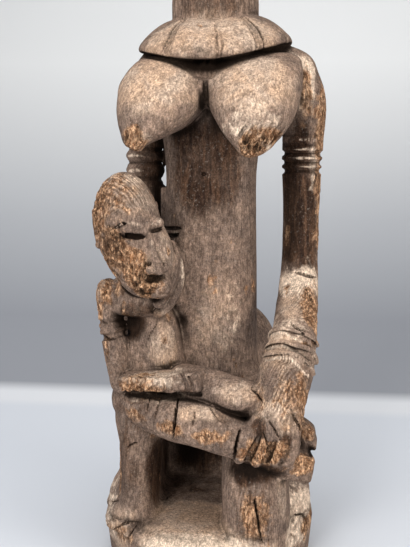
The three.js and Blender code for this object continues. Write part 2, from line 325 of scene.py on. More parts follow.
@dataclass(frozen=True)
class Column(Form):
    """An upright form through levels of x, y, z, half width and half depth.

    power 2 gives an oval plan and more gives a squarer one.
    """

    levels: Stations
    power: float = 2.0
    edge: float = 3.0
    smooth: bool = True

    def rows(self) -> Array:
        """Gives the centres and half widths going up."""
        if self.smooth:
            return smooth_path(self.levels, 2.0)
        return np.array(self.levels, float)

    def reach(self) -> tuple[Array, Array]:
        """Lowest and highest corner of the form."""
        rows = self.rows()
        half = np.column_stack([rows[:, 3:], np.zeros(len(rows))])
        return (rows[:, :3] - half).min(0), (rows[:, :3] + half).max(0)

    def distance(self, grid: Grid) -> Array:
        """Distance from each place of the grid to the form, negative inside."""
        rows = self.rows()
        level = [np.interp(grid.z, rows[:, 2], rows[:, k]) for k in (0, 1, 3, 4)]
        middle_x, middle_y, wide, deep = (a.astype(np.float32)[None, None, :] for a in level)
        lean = np.interp(grid.z, rows[:, 2], np.gradient(rows[:, 3], rows[:, 2]))
        lean = np.sqrt(1 + lean ** 2).astype(np.float32)[None, None, :]
        x, y, z = grid.axes
        across = np.abs(x - middle_x) / wide
        into = np.abs(y - middle_y) / deep
        p = self.power
        near = np.maximum((across ** p + into ** p) ** (1 / p), 1e-4)
        slope = near ** (1 - p) * np.sqrt(
            (across ** (p - 1) / wide) ** 2 + (into ** (p - 1) / deep) ** 2
        )
        wall = (near - 1) / np.maximum(slope * lean, 1e-4)
        ends = np.maximum(rows[0, 2] - z, z - rows[-1, 2]).astype(np.float32)
        ends = np.broadcast_to(ends, grid.shape)
        return -soft_least(-wall, -ends, self.edge)


@dataclass(frozen=True)
class Brick(Form):
    """A box with rounded edges, turned by a matrix about its centre."""

    centre: Point
    half: Point
    edge: float = 3.0
    turn: Array = field(default_factory=lambda: np.eye(3))

    def reach(self) -> tuple[Array, Array]:
        """Lowest and highest corner of the form."""
        room = np.abs(self.turn) @ np.array(self.half)
        return np.array(self.centre) - room, np.array(self.centre) + room

    def distance(self, grid: Grid) -> Array:
        """Distance from each place of the grid to the form, negative inside."""
        offsets = [axis - middle for axis, middle in zip(grid.axes, self.centre)]
        outside, most = np.float32(0), np.float32(-1e3)
        for k, half in enumerate(self.half):
            along = sum(offsets[i] * np.float32(self.turn[i, k]) for i in range(3))
            off = np.abs(along) - half + self.edge
            outside = outside + np.maximum(off, 0.0) ** 2
            most = np.maximum(most, off)
        return (np.sqrt(outside) + np.minimum(most, 0.0) - self.edge).astype(np.float32)


@dataclass(frozen=True)
class Flange(Form):
    """The collar: a domed plate with a round rim that dips in front."""

    centre: tuple[float, float] = (3.4, 4.0)
    half_width: float = 61.3
    half_depth: float = 61.5
    rim: float = 363.0
    rise: float = 20.0
    front_drop: float = 11.0
    side_tilt: float = 2.4
    side_thickness: float = 5.0
    front_thickness: float = 8.5
    edge: float = 3.5
    flute: float = 0.02
    pleats: int = 9

    def reach(self) -> tuple[Array, Array]:
        """Lowest and highest corner of the form."""
        half = np.array([self.half_width, self.half_depth])
        low = [*(np.array(self.centre) - half), self.rim - self.front_thickness - self.front_drop]
        high = [*(np.array(self.centre) + half), self.rim + self.rise + 4]
        return np.array(low), np.array(high)

    def distance(self, grid: Grid) -> Array:
        """Distance from each place of the grid to the form, negative inside."""
        x, y, z = grid.axes
        across = (x - self.centre[0]) / self.half_width
        into = (y - self.centre[1]) / self.half_depth
        share = np.maximum(np.sqrt(across ** 2 + into ** 2), 1e-4)
        around = np.arctan2(-into, across)
        front = np.maximum(-into / share, 0.0)
        scallop = np.abs(np.sin((around - math.pi / 2) * self.pleats / 2))
        behind = 1 - smoothstep(0.55, 0.8, front)
        share = share / (1 - self.flute * (1 - scallop ** 0.5) * behind)
        tilt = self.rim + self.side_tilt * across
        tilt = tilt - self.front_drop * front ** 2 * smoothstep(0.1, 1.0, share)
        steep = np.clip((share - 0.48) / 0.52, 0.0, 1.2) ** 1.9
        top = (z - tilt - self.rise * (1 - steep)) / np.sqrt(1 + 3.0 * smoothstep(0.5, 1.0, share))
        thick = self.side_thickness
        thick = thick + (self.front_thickness - self.side_thickness) * front ** 2
        under = tilt - thick + 1.5 * share - z
        wall = (share - 1) * min(self.half_width, self.half_depth)
        plate = -soft_least(-top, -wall, self.edge)
        return -soft_least(-plate, -under, self.edge)


class Block:
    """The wood being carved: a grid of distances to its surface."""

    def __init__(self, low: Point, high: Point, pitch: float) -> None:
        """Makes an empty block.

        Args:
            low: lowest corner, in drawn millimetres.
            high: highest corner.
            pitch: distance between places of the grid.
        """
        self.low = np.array(low, float)
        self.pitch = pitch
        lines = [np.arange(a, b + pitch, pitch, dtype=np.float32) for a, b in zip(low, high)]
        self.grid = Grid(*lines)
        self.field = np.full(self.grid.shape, FAR, np.float32)

    def window(self, form: Form, blend: float) -> tuple[tuple[slice, ...], Grid]:
        """Finds the part of the grid that a form changes."""
        low, high = form.reach()
        return self.grid.part(low - FAR - blend, high + FAR + blend)

    def add(self, form: Form, blend: float = 0.0) -> None:
        """Joins a form to the wood, with a fillet of the given width."""
        cuts, part = self.window(form, blend)
        new = np.minimum(form.distance(part), FAR)
        self.field[cuts] = soft_least(self.field[cuts], new, blend)

    def cut(self, form: Form, blend: float = 0.0) -> None:
        """Cuts a form from the wood, easing the edge by the given width."""
        cuts, part = self.window(form, blend)
        new = np.minimum(form.distance(part), FAR)
        self.field[cuts] = -soft_least(-self.field[cuts], new, blend)

    def sample(self, points: Array) -> Array:
        """Distance to the surface at any places, by trilinear steps."""
        at = (points - self.low) / self.pitch
        top = np.array(self.field.shape) - 2
        base = np.clip(np.floor(at).astype(np.int32), 0, top)
        f = np.clip(at - base, 0.0, 1.0).astype(np.float32)
        total = np.zeros(len(points), np.float32)
        for corner in range(8):
            step = np.array([corner & 1, corner >> 1 & 1, corner >> 2 & 1])
            weight = np.where(step, f, 1 - f).prod(1)
            i, j, k = (base + step).T
            total += weight * self.field[i, j, k]
        return total

    def outward(self, points: Array) -> Array:
        """Unit directions out of the wood at places near its surface."""
        h = 0.8 * self.pitch
        parts = []
        for axis in range(3):
            step = np.zeros(3)
            step[axis] = h
            parts.append(self.sample(points + step) - self.sample(points - step))
        away = np.stack(parts, 1)
        return away / np.maximum(np.linalg.norm(away, axis=1)[:, None], 1e-6)

    def settle(self, points: Array) -> Array:
        """Moves places near the wood onto its surface."""
        at = np.array(points, float)
        for _ in range(8):
            at = at - self.outward(at) * self.sample(at)[:, None]
        return at

    def trace(self, line: Stations, sink: float) -> Limb:
        """Makes a thin limb that follows the surface.

        Args:
            line: rows of x, y, z and radius, within a centimetre of the surface.
            sink: how far the limb reaches below the surface, in millimetres. What is left
                of its thickness stands above it.

        Returns:
            The limb, to cut a groove or to add a ridge with.
        """
        rows = smooth_path(line, 3.0)
        spots = self.settle(rows[:, :3])
        out = self.outward(spots)
        spots = spots + out * (rows[:, 3:4] - sink * rows[:, 3:4] / rows[:, 3].max())
        return Limb([(*spot, row[3]) for spot, row in zip(spots, rows)], step=3.0)

    def groove(self, line: Stations, sink: float, blend: float) -> None:
        """Cuts a groove that follows the surface. The arguments are those of trace and cut."""
        self.cut(self.trace(line, sink), blend)

    def surface(self) -> tuple[Array, Array]:
        """Gives the surface as points, in millimetres, and faces of four."""
        volume = openvdb.FloatGrid(FAR)
        volume.copyFromArray(self.field)
        points, _, quads = volume.convertToPolygons(0.0, 0.0)
        return points * self.pitch + self.low, quads.astype(np.int32)


@dataclass
class Plinth:
    """The low oval drum under the figure, worn round along its upper edge."""

    half_width: float = 85.6
    half_depth: float = 92.6
    edge_rise: float = 17.0
    edge_inset: float = 20.0
    foot_inset: float = 3.0

    def carve(self, block: Block) -> None:
        """Adds the plinth, and the swellings of its shoulder beside the two shins."""
        shoulder = -self.edge_rise
        rows = [(0.0, 0.0, -PLINTH_HEIGHT, self.half_width - self.foot_inset,
                 self.half_depth - self.foot_inset)]
        for degrees in range(0, 91, 10):
            angle = math.radians(degrees)
            inset = self.edge_inset * (1 - math.cos(angle))
            rows.append((0.0, 0.0, shoulder + self.edge_rise * math.sin(angle),
                         self.half_width - inset, self.half_depth - inset))
        block.add(Column(rows, edge=4.0, smooth=False))
        right = [(64, -28, -8, 18.5), (66, -27, 10, 17.2), (66, -24, 24, 15)]
        left = [(-61, -30, -8, 18), (-61, -30, 7, 17.6), (-58, -28, 20, 14)]
        for swelling in (right, left):
            block.add(Limb(swelling), blend=7.0)


@dataclass
class Stool:
    """The waisted round stool, hollowed in front between the shins."""

    seat_radius: float = 63.0
    waist_radius: float = 55.0
    seat_height: float = 68.0
    centre_y: float = 20.0
    recess_left: float = -40.0
    recess_right: float = 16.0
    recess_back: float = 34.0
    recess_height: float = 54.0

    def carve(self, block: Block) -> None:
        """Adds the drum to the block and cuts its hollow."""
        profile = [
            (-4.0, self.seat_radius + 4),
            (self.seat_height * 0.2, self.waist_radius + 4),
            (self.seat_height * 0.45, self.waist_radius),
            (self.seat_height * 0.7, self.waist_radius + 3),
            (self.seat_height * 0.88, self.seat_radius),
            (self.seat_height, self.seat_radius - 3),
        ]
        drum = [(0.0, self.centre_y, z, radius, radius) for z, radius in profile]
        block.add(Column(drum, edge=5.0), blend=3.0)

    def hollow(self, block: Block) -> None:
        """Cuts the hollow under the lap."""
        middle = ((self.recess_left + self.recess_right) / 2, self.recess_back - 60.0,
                  self.recess_height / 2)
        half = ((self.recess_right - self.recess_left) / 2, 60.0, self.recess_height / 2)
        block.cut(Brick(middle, half, edge=7.0), blend=2.0)


@dataclass
class LowerBody:
    """Shins on the plinth, thighs on the stool and the hips."""

    sunk: float = 11.0
    right_ridge: float = 3.0

    def carve(self, block: Block) -> None:
        """Adds the lower body to the block."""
        thighs = [
            Limb([(-34, 30, 82, 27), (-44, -5, 80, 25), (-48, -42, 76, 21)]),
            Limb([(34, 30, 82, 27), (40, -5, 80, 26), (42, -52, 72, 24)]),
        ]
        for thigh in thighs:
            block.add(thigh, blend=8.0)
        for hand in (-1, 1):
            block.add(Ellipsoid((hand * 24, 38, 100), (32, 36, 52)), blend=10.0)
        block.add(Ellipsoid((0, 30, 100), (44, 40, 46)), blend=10.0)

    def shins(self, block: Block) -> None:
        """Adds the two shins, squarer than the thighs."""
        right = Column([(-58, -32, -self.sunk, 22, 36), (-53, -32, 14, 15, 35),
                        (-52, -31, 40, 15, 35), (-51, -28, 86, 16, 36)], power=2.8)
        left = Column([(41, -48, -self.sunk, 27, 42), (41, -49, 12, 26, 40),
                       (40, -47, 40, 25.5, 38), (41, -40, 84, 25, 36)], power=2.5)
        block.add(right, blend=6.0)
        block.add(left, blend=2.5)
        ridge = [(-57, -64, 2, self.right_ridge), (-55, -66, 30, self.right_ridge),
                 (-54, -62, 70, self.right_ridge)]
        block.add(Limb(ridge), blend=6.0)


@dataclass
class Torso:
    """The straight body, the shoulders and the two hanging breasts."""

    groove: float = 1.4
    heights: tuple[float, float] = (221.0, 215.4)

    def carve(self, block: Block) -> None:
        """Adds the torso and breasts to the block."""
        trunk = [
            (1.5, 6, 80, 40, 36), (1.5, 3, 120, 37.5, 35), (1.5, 1, 160, 36.7, 35),
            (0.8, 0, 218, 36.5, 35), (1.2, 0, 265, 36.2, 34), (2, 2, 300, 42, 32),
            (6, 4, 326, 56, 30), (8, 5, 343, 66, 27), (8, 6, 356, 62, 23), (5, 6, 368, 44, 20),
        ]
        block.add(Column(trunk, power=2.15), blend=7.0)
        for web in (Brick((-33, 2, 224), (5.5, 13, 28.5), 2.0), Brick((-39, 6, 288), (6, 8, 18))):
            block.add(web, blend=1.0)
        right = [
            (-44.8, -68, 279, 3, 4), (-47.2, -64, 283.7, 7.5, 10.5), (-45, -58.7, 288, 13, 17),
            (-43, -55.8, 290.2, 16, 20), (-38, -47.5, 297.6, 24.5, 27.6),
            (-35, -42.4, 305.1, 29.5, 31.6), (-33.1, -39, 312, 32.4, 33),
            (-32, -35.3, 320, 33.5, 33.6), (-31.5, -32, 329.4, 33, 31.7),
            (-29.5, -28.3, 338, 30.6, 27), (-27, -24, 345.8, 27.6, 21),
            (-24, -15.5, 352, 24, 13),
        ]
        left = [
            (35.5, -71.5, 274.5, 4, 6), (36.1, -69.5, 277.3, 7.9, 14),
            (37.7, -64.5, 282, 13, 18.5), (37.6, -62, 286, 16.5, 22),
            (37.5, -55, 292.5, 22, 27), (37.2, -46.5, 302.8, 28.6, 31),
            (35.9, -39.5, 315, 33.6, 33), (36.9, -33, 329, 35.2, 32), (37, -24, 346, 34, 22),
            (36, -14, 354, 28, 12),
        ]
        block.add(Ellipsoid((1.8, -29, 331), (11, 24, 19)), blend=1.0)
        for levels in (right, left):
            block.add(Column(levels, power=2.3, edge=4.0), blend=4.0)
        cleft = [(2.5, -30, 352, 0.8), (2.5, -50, 345, 1.3), (2.0, -54, 330, 1.5),
                 (1.5, -48, 314, 1.3)]
        block.groove(cleft, 2.6, 1.0)
        flutes = [((27, -82, 288), (36, -76, 300), 1.3), ((31, -85, 284), (43, -77, 302), 1.7),
                  ((35, -87, 280), (49, -73, 304), 1.9), ((39, -87, 279), (54, -71, 303), 1.9),
                  ((43, -83, 280), (59, -67, 302), 1.7), ((47, -78, 282), (62, -61, 300), 1.4)]
        for low, high, wide in flutes:
            line = [(*low, wide * 0.6), (*halfway(low, high), wide), (*high, wide * 0.4)]
            block.groove(line, 2.0, 0.6)

    def marks(self, block: Block) -> None:
        """Cuts the two short grooves and the small hole beside the child's head."""
        for height in self.heights:
            line = [(-37, -12, height - 0.8, 1.0), (-34.5, -15, height - 0.6, self.groove),
                    (-27, -24, height, self.groove), (-19.5, -29, height + 0.6, 0.8)]
            block.groove(line, 2.6, 0.2)
        block.cut(Ellipsoid((-1.4, -34.4, 263.0), (1.9, 3.5, 1.5)), blend=0.2)


@dataclass
class Collar:
    """The domed collar round the foot of the neck, with its two fluted pleats in front."""

    flange: Flange = field(default_factory=Flange)
    flute: float = 3.6
    flute_depth: float = 1.7
    undercut: float = 4.8

    def carve(self, block: Block) -> None:
        """Adds the collar to the block and cuts its flutes and lines."""
        trench = [(-46, -32, 351, 1.6), (-26, -47, 348, 3.4), (-8, -52, 341, self.undercut),
                  (2, -51, 338, self.undercut + 1.8), (10, -52, 341, self.undercut),
                  (26, -48, 349, 3.0), (54, -30, 356, 1.8)]
        block.cut(Limb(trench, step=4.0), blend=1.5)
        block.add(self.flange, blend=0.6)
        flutes = [
            [(-18, -26, 379, 2.4), (-24.5, -36, 369, 3.2), (-27, -44, 358, self.flute),
             (-28.5, -47.5, 350, self.flute)],
            [(27, -26, 381, 2.4), (37, -36, 370, 3.4), (41, -43, 357, self.flute),
             (42.5, -44, 351, self.flute)],
        ]
        for flute in flutes:
            block.groove(flute, self.flute_depth, 0.3)
            for hand in (-1, 1):
                side = [(x + hand * (0.8 * r + 0.4), y, z, 0.8) for x, y, z, r in flute]
                block.groove(side, 0.9, 0.2)
        lines = [
            [(6.6, -36, 377, 0.6), (8.5, -46, 370, 1.0), (10.5, -55, 357, 1.2),
             (12.3, -58, 345, 1.4)],
            [(12.1, -48, 366, 0.6), (14.7, -54, 354, 1.0), (12.3, -58, 345, 1.4)],
            [(-52, -6, 362, 0.6), (-44, -22, 366, 0.7), (-30, -34, 368, 0.5)],
            [(-14, -44, 366, 0.5), (-14, -54, 352, 0.9)],
            [(52, -12, 366, 0.5), (54, -24, 358, 0.8)],
        ]
        for line in lines:
            block.groove(line, 1.2, 0.3)
        block.cut(Ellipsoid((20.0, -60.0, 346.0), (8.0, 6.0, 2.4), turning(y=-12)), blend=1.0)


@dataclass
class Head:
    """A carved head, drawn one unit high and facing -Y about the middle of its height."""

    size: float
    centre: Point
    breadth: float = 1.0
    yaw: float = 0.0
    roll: float = 0.0
    blend: float = 0.035

    def __post_init__(self) -> None:
        """Works out the head's turn, the yaw first, and the usual width of its fillets."""
        self.turn = turning(y=self.roll) @ turning(z=self.yaw)
        self.soft = self.blend * self.size

    def place(self, point: tuple[float, ...]) -> tuple[float, ...]:
        """Takes a drawn point of the head to its place in the figure."""
        scaled = np.array(point[:3]) * self.size * np.array([self.breadth, 1.0, 1.0])
        return tuple(self.turn @ scaled + np.array(self.centre))

    def ball(self, centre: Point, radii: Point, turn: Array | None = None) -> Ellipsoid:
        """Makes an ellipsoid of the head."""
        wide, deep, high = radii
        sized = (wide * self.size * self.breadth, deep * self.size, high * self.size)
        own = np.eye(3) if turn is None else turn
        return Ellipsoid(self.place(centre), sized, self.turn @ own)

    def limb(self, stations: Stations) -> Limb:
        """Makes a limb of the head. Its first radius lies across the head."""
        rows = []
        for row in stations:
            first = row[3] * self.size
            second = (row[4] if len(row) > 4 else row[3]) * self.size
            rows.append((*self.place(row), first, second))
        return Limb(rows, side=tuple(self.turn @ np.array([1.0, 0.0, 0.0])), step=3.0)

    def carve(self, block: Block) -> None:
        """Adds the skull, face and ears to the block."""
        block.add(self.ball((0, 0.045, 0.12), (0.25, 0.3, 0.38)), blend=1.0)
        jaw = [(0, 0, 0.02, 0.2, 0.23), (0, -0.045, -0.18, 0.205, 0.21),
               (0, -0.08, -0.36, 0.155, 0.15)]
        block.add(self.limb(jaw), blend=2.0 * self.soft)
        for hand in (-1, 1):
            self.brow(block, hand)
            self.ear(block, hand)
        self.nose(block)
        self.mouth(block)

    def brow(self, block: Block, hand: int) -> None:
        """Adds one brow and its hooded eye.

        Args:
            block: the wood.
            hand: -1 for the head's right, 1 for its left.
        """
        arch = [(hand * 0.19, -0.15, 0.09, 0.03), (hand * 0.125, -0.215, 0.13, 0.034),
                (hand * 0.05, -0.245, 0.105, 0.034)]
        block.add(self.limb(arch), blend=1.6 * self.soft)
        lid = (hand * 0.12, -0.215, 0.045)
        turn = turning(y=hand * 10, z=hand * 26)
        block.add(self.ball(lid, (0.085, 0.052, 0.05), turn), blend=0.3 * self.soft)
        slit = [(hand * 0.185, -0.2, 0.022, 0.008), (hand * 0.125, -0.262, 0.004, 0.017),
                (hand * 0.06, -0.268, 0.012, 0.01)]
        block.cut(self.limb(slit), blend=0.2 * self.soft)
        fold = [(hand * 0.2, -0.17, 0.075, 0.006), (hand * 0.13, -0.245, 0.1, 0.011),
                (hand * 0.05, -0.27, 0.08, 0.008)]
        block.cut(self.limb(fold), blend=0.2 * self.soft)

    def ear(self, block: Block, hand: int) -> None:
        """Adds one ear, as a flap with a hollow."""
        block.add(self.ball((hand * 0.25, 0.12, 0.05), (0.04, 0.075, 0.13)), blend=0.4 * self.soft)
        hollow = [(hand * 0.292, 0.1, 0.12, 0.012), (hand * 0.297, 0.13, 0.05, 0.018),
                  (hand * 0.288, 0.1, -0.02, 0.01)]
        block.cut(self.limb(hollow), blend=0.3 * self.soft)

    def nose(self, block: Block) -> None:
        """Adds the long nose, its wings and nostrils."""
        ridge = [(0, -0.225, 0.09, 0.03, 0.035), (0, -0.258, -0.06, 0.034, 0.042),
                 (0, -0.272, -0.2, 0.045, 0.05), (0, -0.268, -0.265, 0.055, 0.05)]
        block.add(self.limb(ridge), blend=1.0 * self.soft)
        for hand in (-1, 1):
            wing = self.ball((hand * 0.05, -0.25, -0.262), (0.032, 0.042, 0.034))
            block.add(wing, blend=0.5 * self.soft)
            nostril = [(hand * 0.028, -0.3, -0.312, 0.011), (hand * 0.052, -0.272, -0.308, 0.013)]
            block.cut(self.limb(nostril), blend=0.2 * self.soft)

    def mouth(self, block: Block) -> None:
        """Adds the lips and cuts the line between them."""
        block.add(self.ball((0, -0.212, -0.385), (0.085, 0.045, 0.024)), blend=0.6 * self.soft)
        block.add(self.ball((0, -0.205, -0.437), (0.07, 0.042, 0.024)), blend=0.6 * self.soft)
        line = [(-0.08, -0.225, -0.412, 0.006), (0, -0.262, -0.41, 0.01),
                (0.08, -0.225, -0.412, 0.006)]
        block.cut(self.limb(line), blend=0.2 * self.soft)


@dataclass
class ChildHead(Head):
    """The child's head: one long egg, the chin carried forwards, and hooded eyes."""

    size: float = 92.0
    centre: Point = (-51.0, -65.0, 219.3)
    yaw: float = 36.0
    roll: float = -7.0
    bend: float = 0.62
    jaw_room: float = 1.4

    def carve(self, block: Block) -> None:
        """Adds the skull, face and ears to the block."""
        radii = tuple(self.size * share for share in (0.236, 0.335, 0.5))
        bend = self.bend / self.size
        room = tuple(radius + self.jaw_room for radius in radii)
        block.cut(Ellipsoid(self.place((-0.05, -0.03, -0.06)), room, self.turn, bend), blend=1.5)
        block.add(Ellipsoid(self.place((0, 0.02, 0)), radii, self.turn, bend), blend=0.5)
        block.add(self.ball((-0.02, 0.05, 0.12), (0.24, 0.335, 0.36)), blend=2.0 * self.soft)
        block.add(self.ball((0.12, -0.18, -0.17), (0.115, 0.14, 0.19)), blend=4.0 * self.soft)
        for hand in (-1, 1):
            self.ear(block, hand)
        self.near_eye(block)
        self.far_eye(block)
        self.nose(block)
        self.mouth(block)
        block.add(Ellipsoid((-27.5, -79.5, 184), (8.5, 8.5, 9)), blend=4.0)
        block.add(Ellipsoid((-34, -87.5, 186.8), (9, 5, 4)), blend=2.5)

    def ear(self, block: Block, hand: int) -> None:
        """Adds one ear, as a flat flap with a straight front edge."""
        half = (0.03 * self.size, 0.05 * self.size, 0.16 * self.size)
        turn = self.turn @ turning(x=7, z=hand * 12)
        block.add(Brick(self.place((hand * 0.25, 0.085, 0.085)), half, 2.0, turn), blend=2.0)

    def near_eye(self, block: Block) -> None:
        """Adds the hooded lid on the open side and cuts the deep slit under it."""
        turn = turning(y=-8, z=-28)
        lid = self.ball((-0.115, -0.248, 0.062), (0.1, 0.05, 0.046), turn)
        block.add(lid, blend=0.4 * self.soft)
        brow = [(-0.2, -0.15, 0.15, 0.03), (-0.13, -0.225, 0.172, 0.034),
                (-0.05, -0.27, 0.135, 0.03)]
        block.add(self.limb(brow), blend=2.4 * self.soft)
        fold = [(-0.215, -0.13, 0.05, 0.007), (-0.188, -0.186, 0.094, 0.014),
                (-0.135, -0.256, 0.118, 0.012), (-0.06, -0.302, 0.092, 0.008)]
        block.cut(self.limb(fold), blend=0.2 * self.soft)
        slit = [(-0.168, -0.215, 0.024, 0.007), (-0.13, -0.262, 0.014, 0.014),
                (-0.085, -0.288, 0.004, 0.02), (-0.05, -0.3, 0.0, 0.014)]
        block.cut(self.limb(slit), blend=0.1 * self.soft)

    def far_eye(self, block: Block) -> None:
        """Adds the lid beside the mother's body, rounder and less worn."""
        turn = turning(y=8, z=24)
        lid = self.ball((0.103, -0.274, 0.085), (0.066, 0.06, 0.05), turn)
        block.add(lid, blend=0.25 * self.soft)
        crease = [(0.0, -0.312, 0.11, 0.007), (0.04, -0.318, 0.145, 0.012),
                  (0.1, -0.29, 0.16, 0.014), (0.17, -0.235, 0.15, 0.008)]
        block.cut(self.limb(crease), blend=0.2 * self.soft)
        slit = [(0.025, -0.31, 0.03, 0.006), (0.08, -0.302, 0.026, 0.01),
                (0.125, -0.28, 0.034, 0.007)]
        block.cut(self.limb(slit), blend=0.2 * self.soft)

    def nose(self, block: Block) -> None:
        """Adds the long straight nose and cuts the nostrils under it."""
        ridge = [(0, -0.286, 0.05, 0.024, 0.03), (0.003, -0.325, -0.06, 0.028, 0.04),
                 (0.007, -0.362, -0.17, 0.034, 0.046), (0.012, -0.392, -0.25, 0.042, 0.048),
                 (0.012, -0.37, -0.29, 0.042, 0.034)]
        block.add(self.limb(ridge), blend=0.6 * self.soft)
        beside = [(-0.034, -0.325, -0.01, 0.01), (-0.04, -0.34, -0.09, 0.013),
                  (-0.046, -0.35, -0.16, 0.013), (-0.05, -0.355, -0.2, 0.01)]
        block.cut(self.limb(beside), blend=0.8 * self.soft)
        for hand in (-1, 1):
            wing = self.ball((0.02 + hand * 0.062, -0.342, -0.262), (0.042, 0.056, 0.042))
            block.add(wing, blend=0.3 * self.soft)
        nostrils = [(-0.05, -0.365, -0.308, 0.012), (-0.005, -0.39, -0.312, 0.019),
                    (0.055, -0.37, -0.308, 0.013)]
        block.cut(self.limb(nostrils), blend=0.1 * self.soft)

    def mouth(self, block: Block) -> None:
        """Adds the pushed-out lips and the chin, and cuts the line between the lips."""
        block.add(self.ball((0, -0.27, -0.385), (0.115, 0.06, 0.038)), blend=0.8 * self.soft)
        block.add(self.ball((0, -0.25, -0.458), (0.11, 0.06, 0.034)), blend=0.8 * self.soft)
        line = [(-0.06, -0.3, -0.43, 0.005), (0, -0.325, -0.434, 0.008),
                (0.07, -0.312, -0.438, 0.01), (0.11, -0.272, -0.438, 0.007)]
        block.cut(self.limb(line), blend=0.1 * self.soft)


@dataclass
class MotherHead:
    """The mother's neck and her head, of a plain design in keeping with the child's."""

    rim: float = 361.0
    size: float = 150.0
    centre: Point = (3.0, -1.0, 507.0)
    breadth: float = 1.14
    crest: float = 8.0
    braids: int = 5
    braid_groove: float = 1.3

    def carve(self, block: Block) -> None:
        """Adds the neck, head and combed crest to the block."""
        neck = [(3.4, 6, self.rim - 6, 34, 34), (3.4, 6, self.rim + 40, 33.5, 33.5),
                (3, 9, self.rim + 75, 30, 31), (3, 12, self.rim + 135, 28, 30)]
        block.add(Column(neck), blend=2.0)
        Head(self.size, self.centre, self.breadth).carve(block)
        self.hair(block)

    def over(self, degrees: float, lean: float, lift: float) -> Point:
        """Gives a place over the skull.

        Args:
            degrees: angle from the brow over the crown to the nape.
            lean: sideways angle from the crest, in degrees.
            lift: distance outside the skull, in millimetres.

        Returns:
            The place in the figure.
        """
        angle, side = math.radians(degrees), math.radians(lean)
        half = (0.25 * self.size * self.breadth + lift, 0.3 * self.size + lift,
                0.38 * self.size + lift)
        x, y, z = self.centre
        return (
            x + half[0] * math.sin(side),
            y + 0.045 * self.size - half[1] * math.cos(angle) * math.cos(side),
            z + 0.12 * self.size + half[2] * math.sin(angle) * math.cos(side),
        )

    def hair(self, block: Block) -> None:
        """Adds the crest and cuts the braids beside it."""
        crest = [(*self.over(a, 0, 0), self.crest) for a in (34, 65, 100, 135, 170, 200)]
        block.add(Limb(crest), blend=2.0)
        for hand in (-1, 1):
            for row in range(self.braids):
                lean = hand * (15 + 11 * row)
                line = [(*self.over(a, lean, 0.3), self.braid_groove)
                        for a in range(48 + 3 * row, 178 - 4 * row, 14)]
                block.cut(Limb(line, step=4.0), blend=0.8)
        for hand in (-1, 1):
            line = [(*self.over(a, hand * 3.2, 7.2), 0.9) for a in range(44, 190, 14)]
            block.cut(Limb(line, step=4.0), blend=0.8)


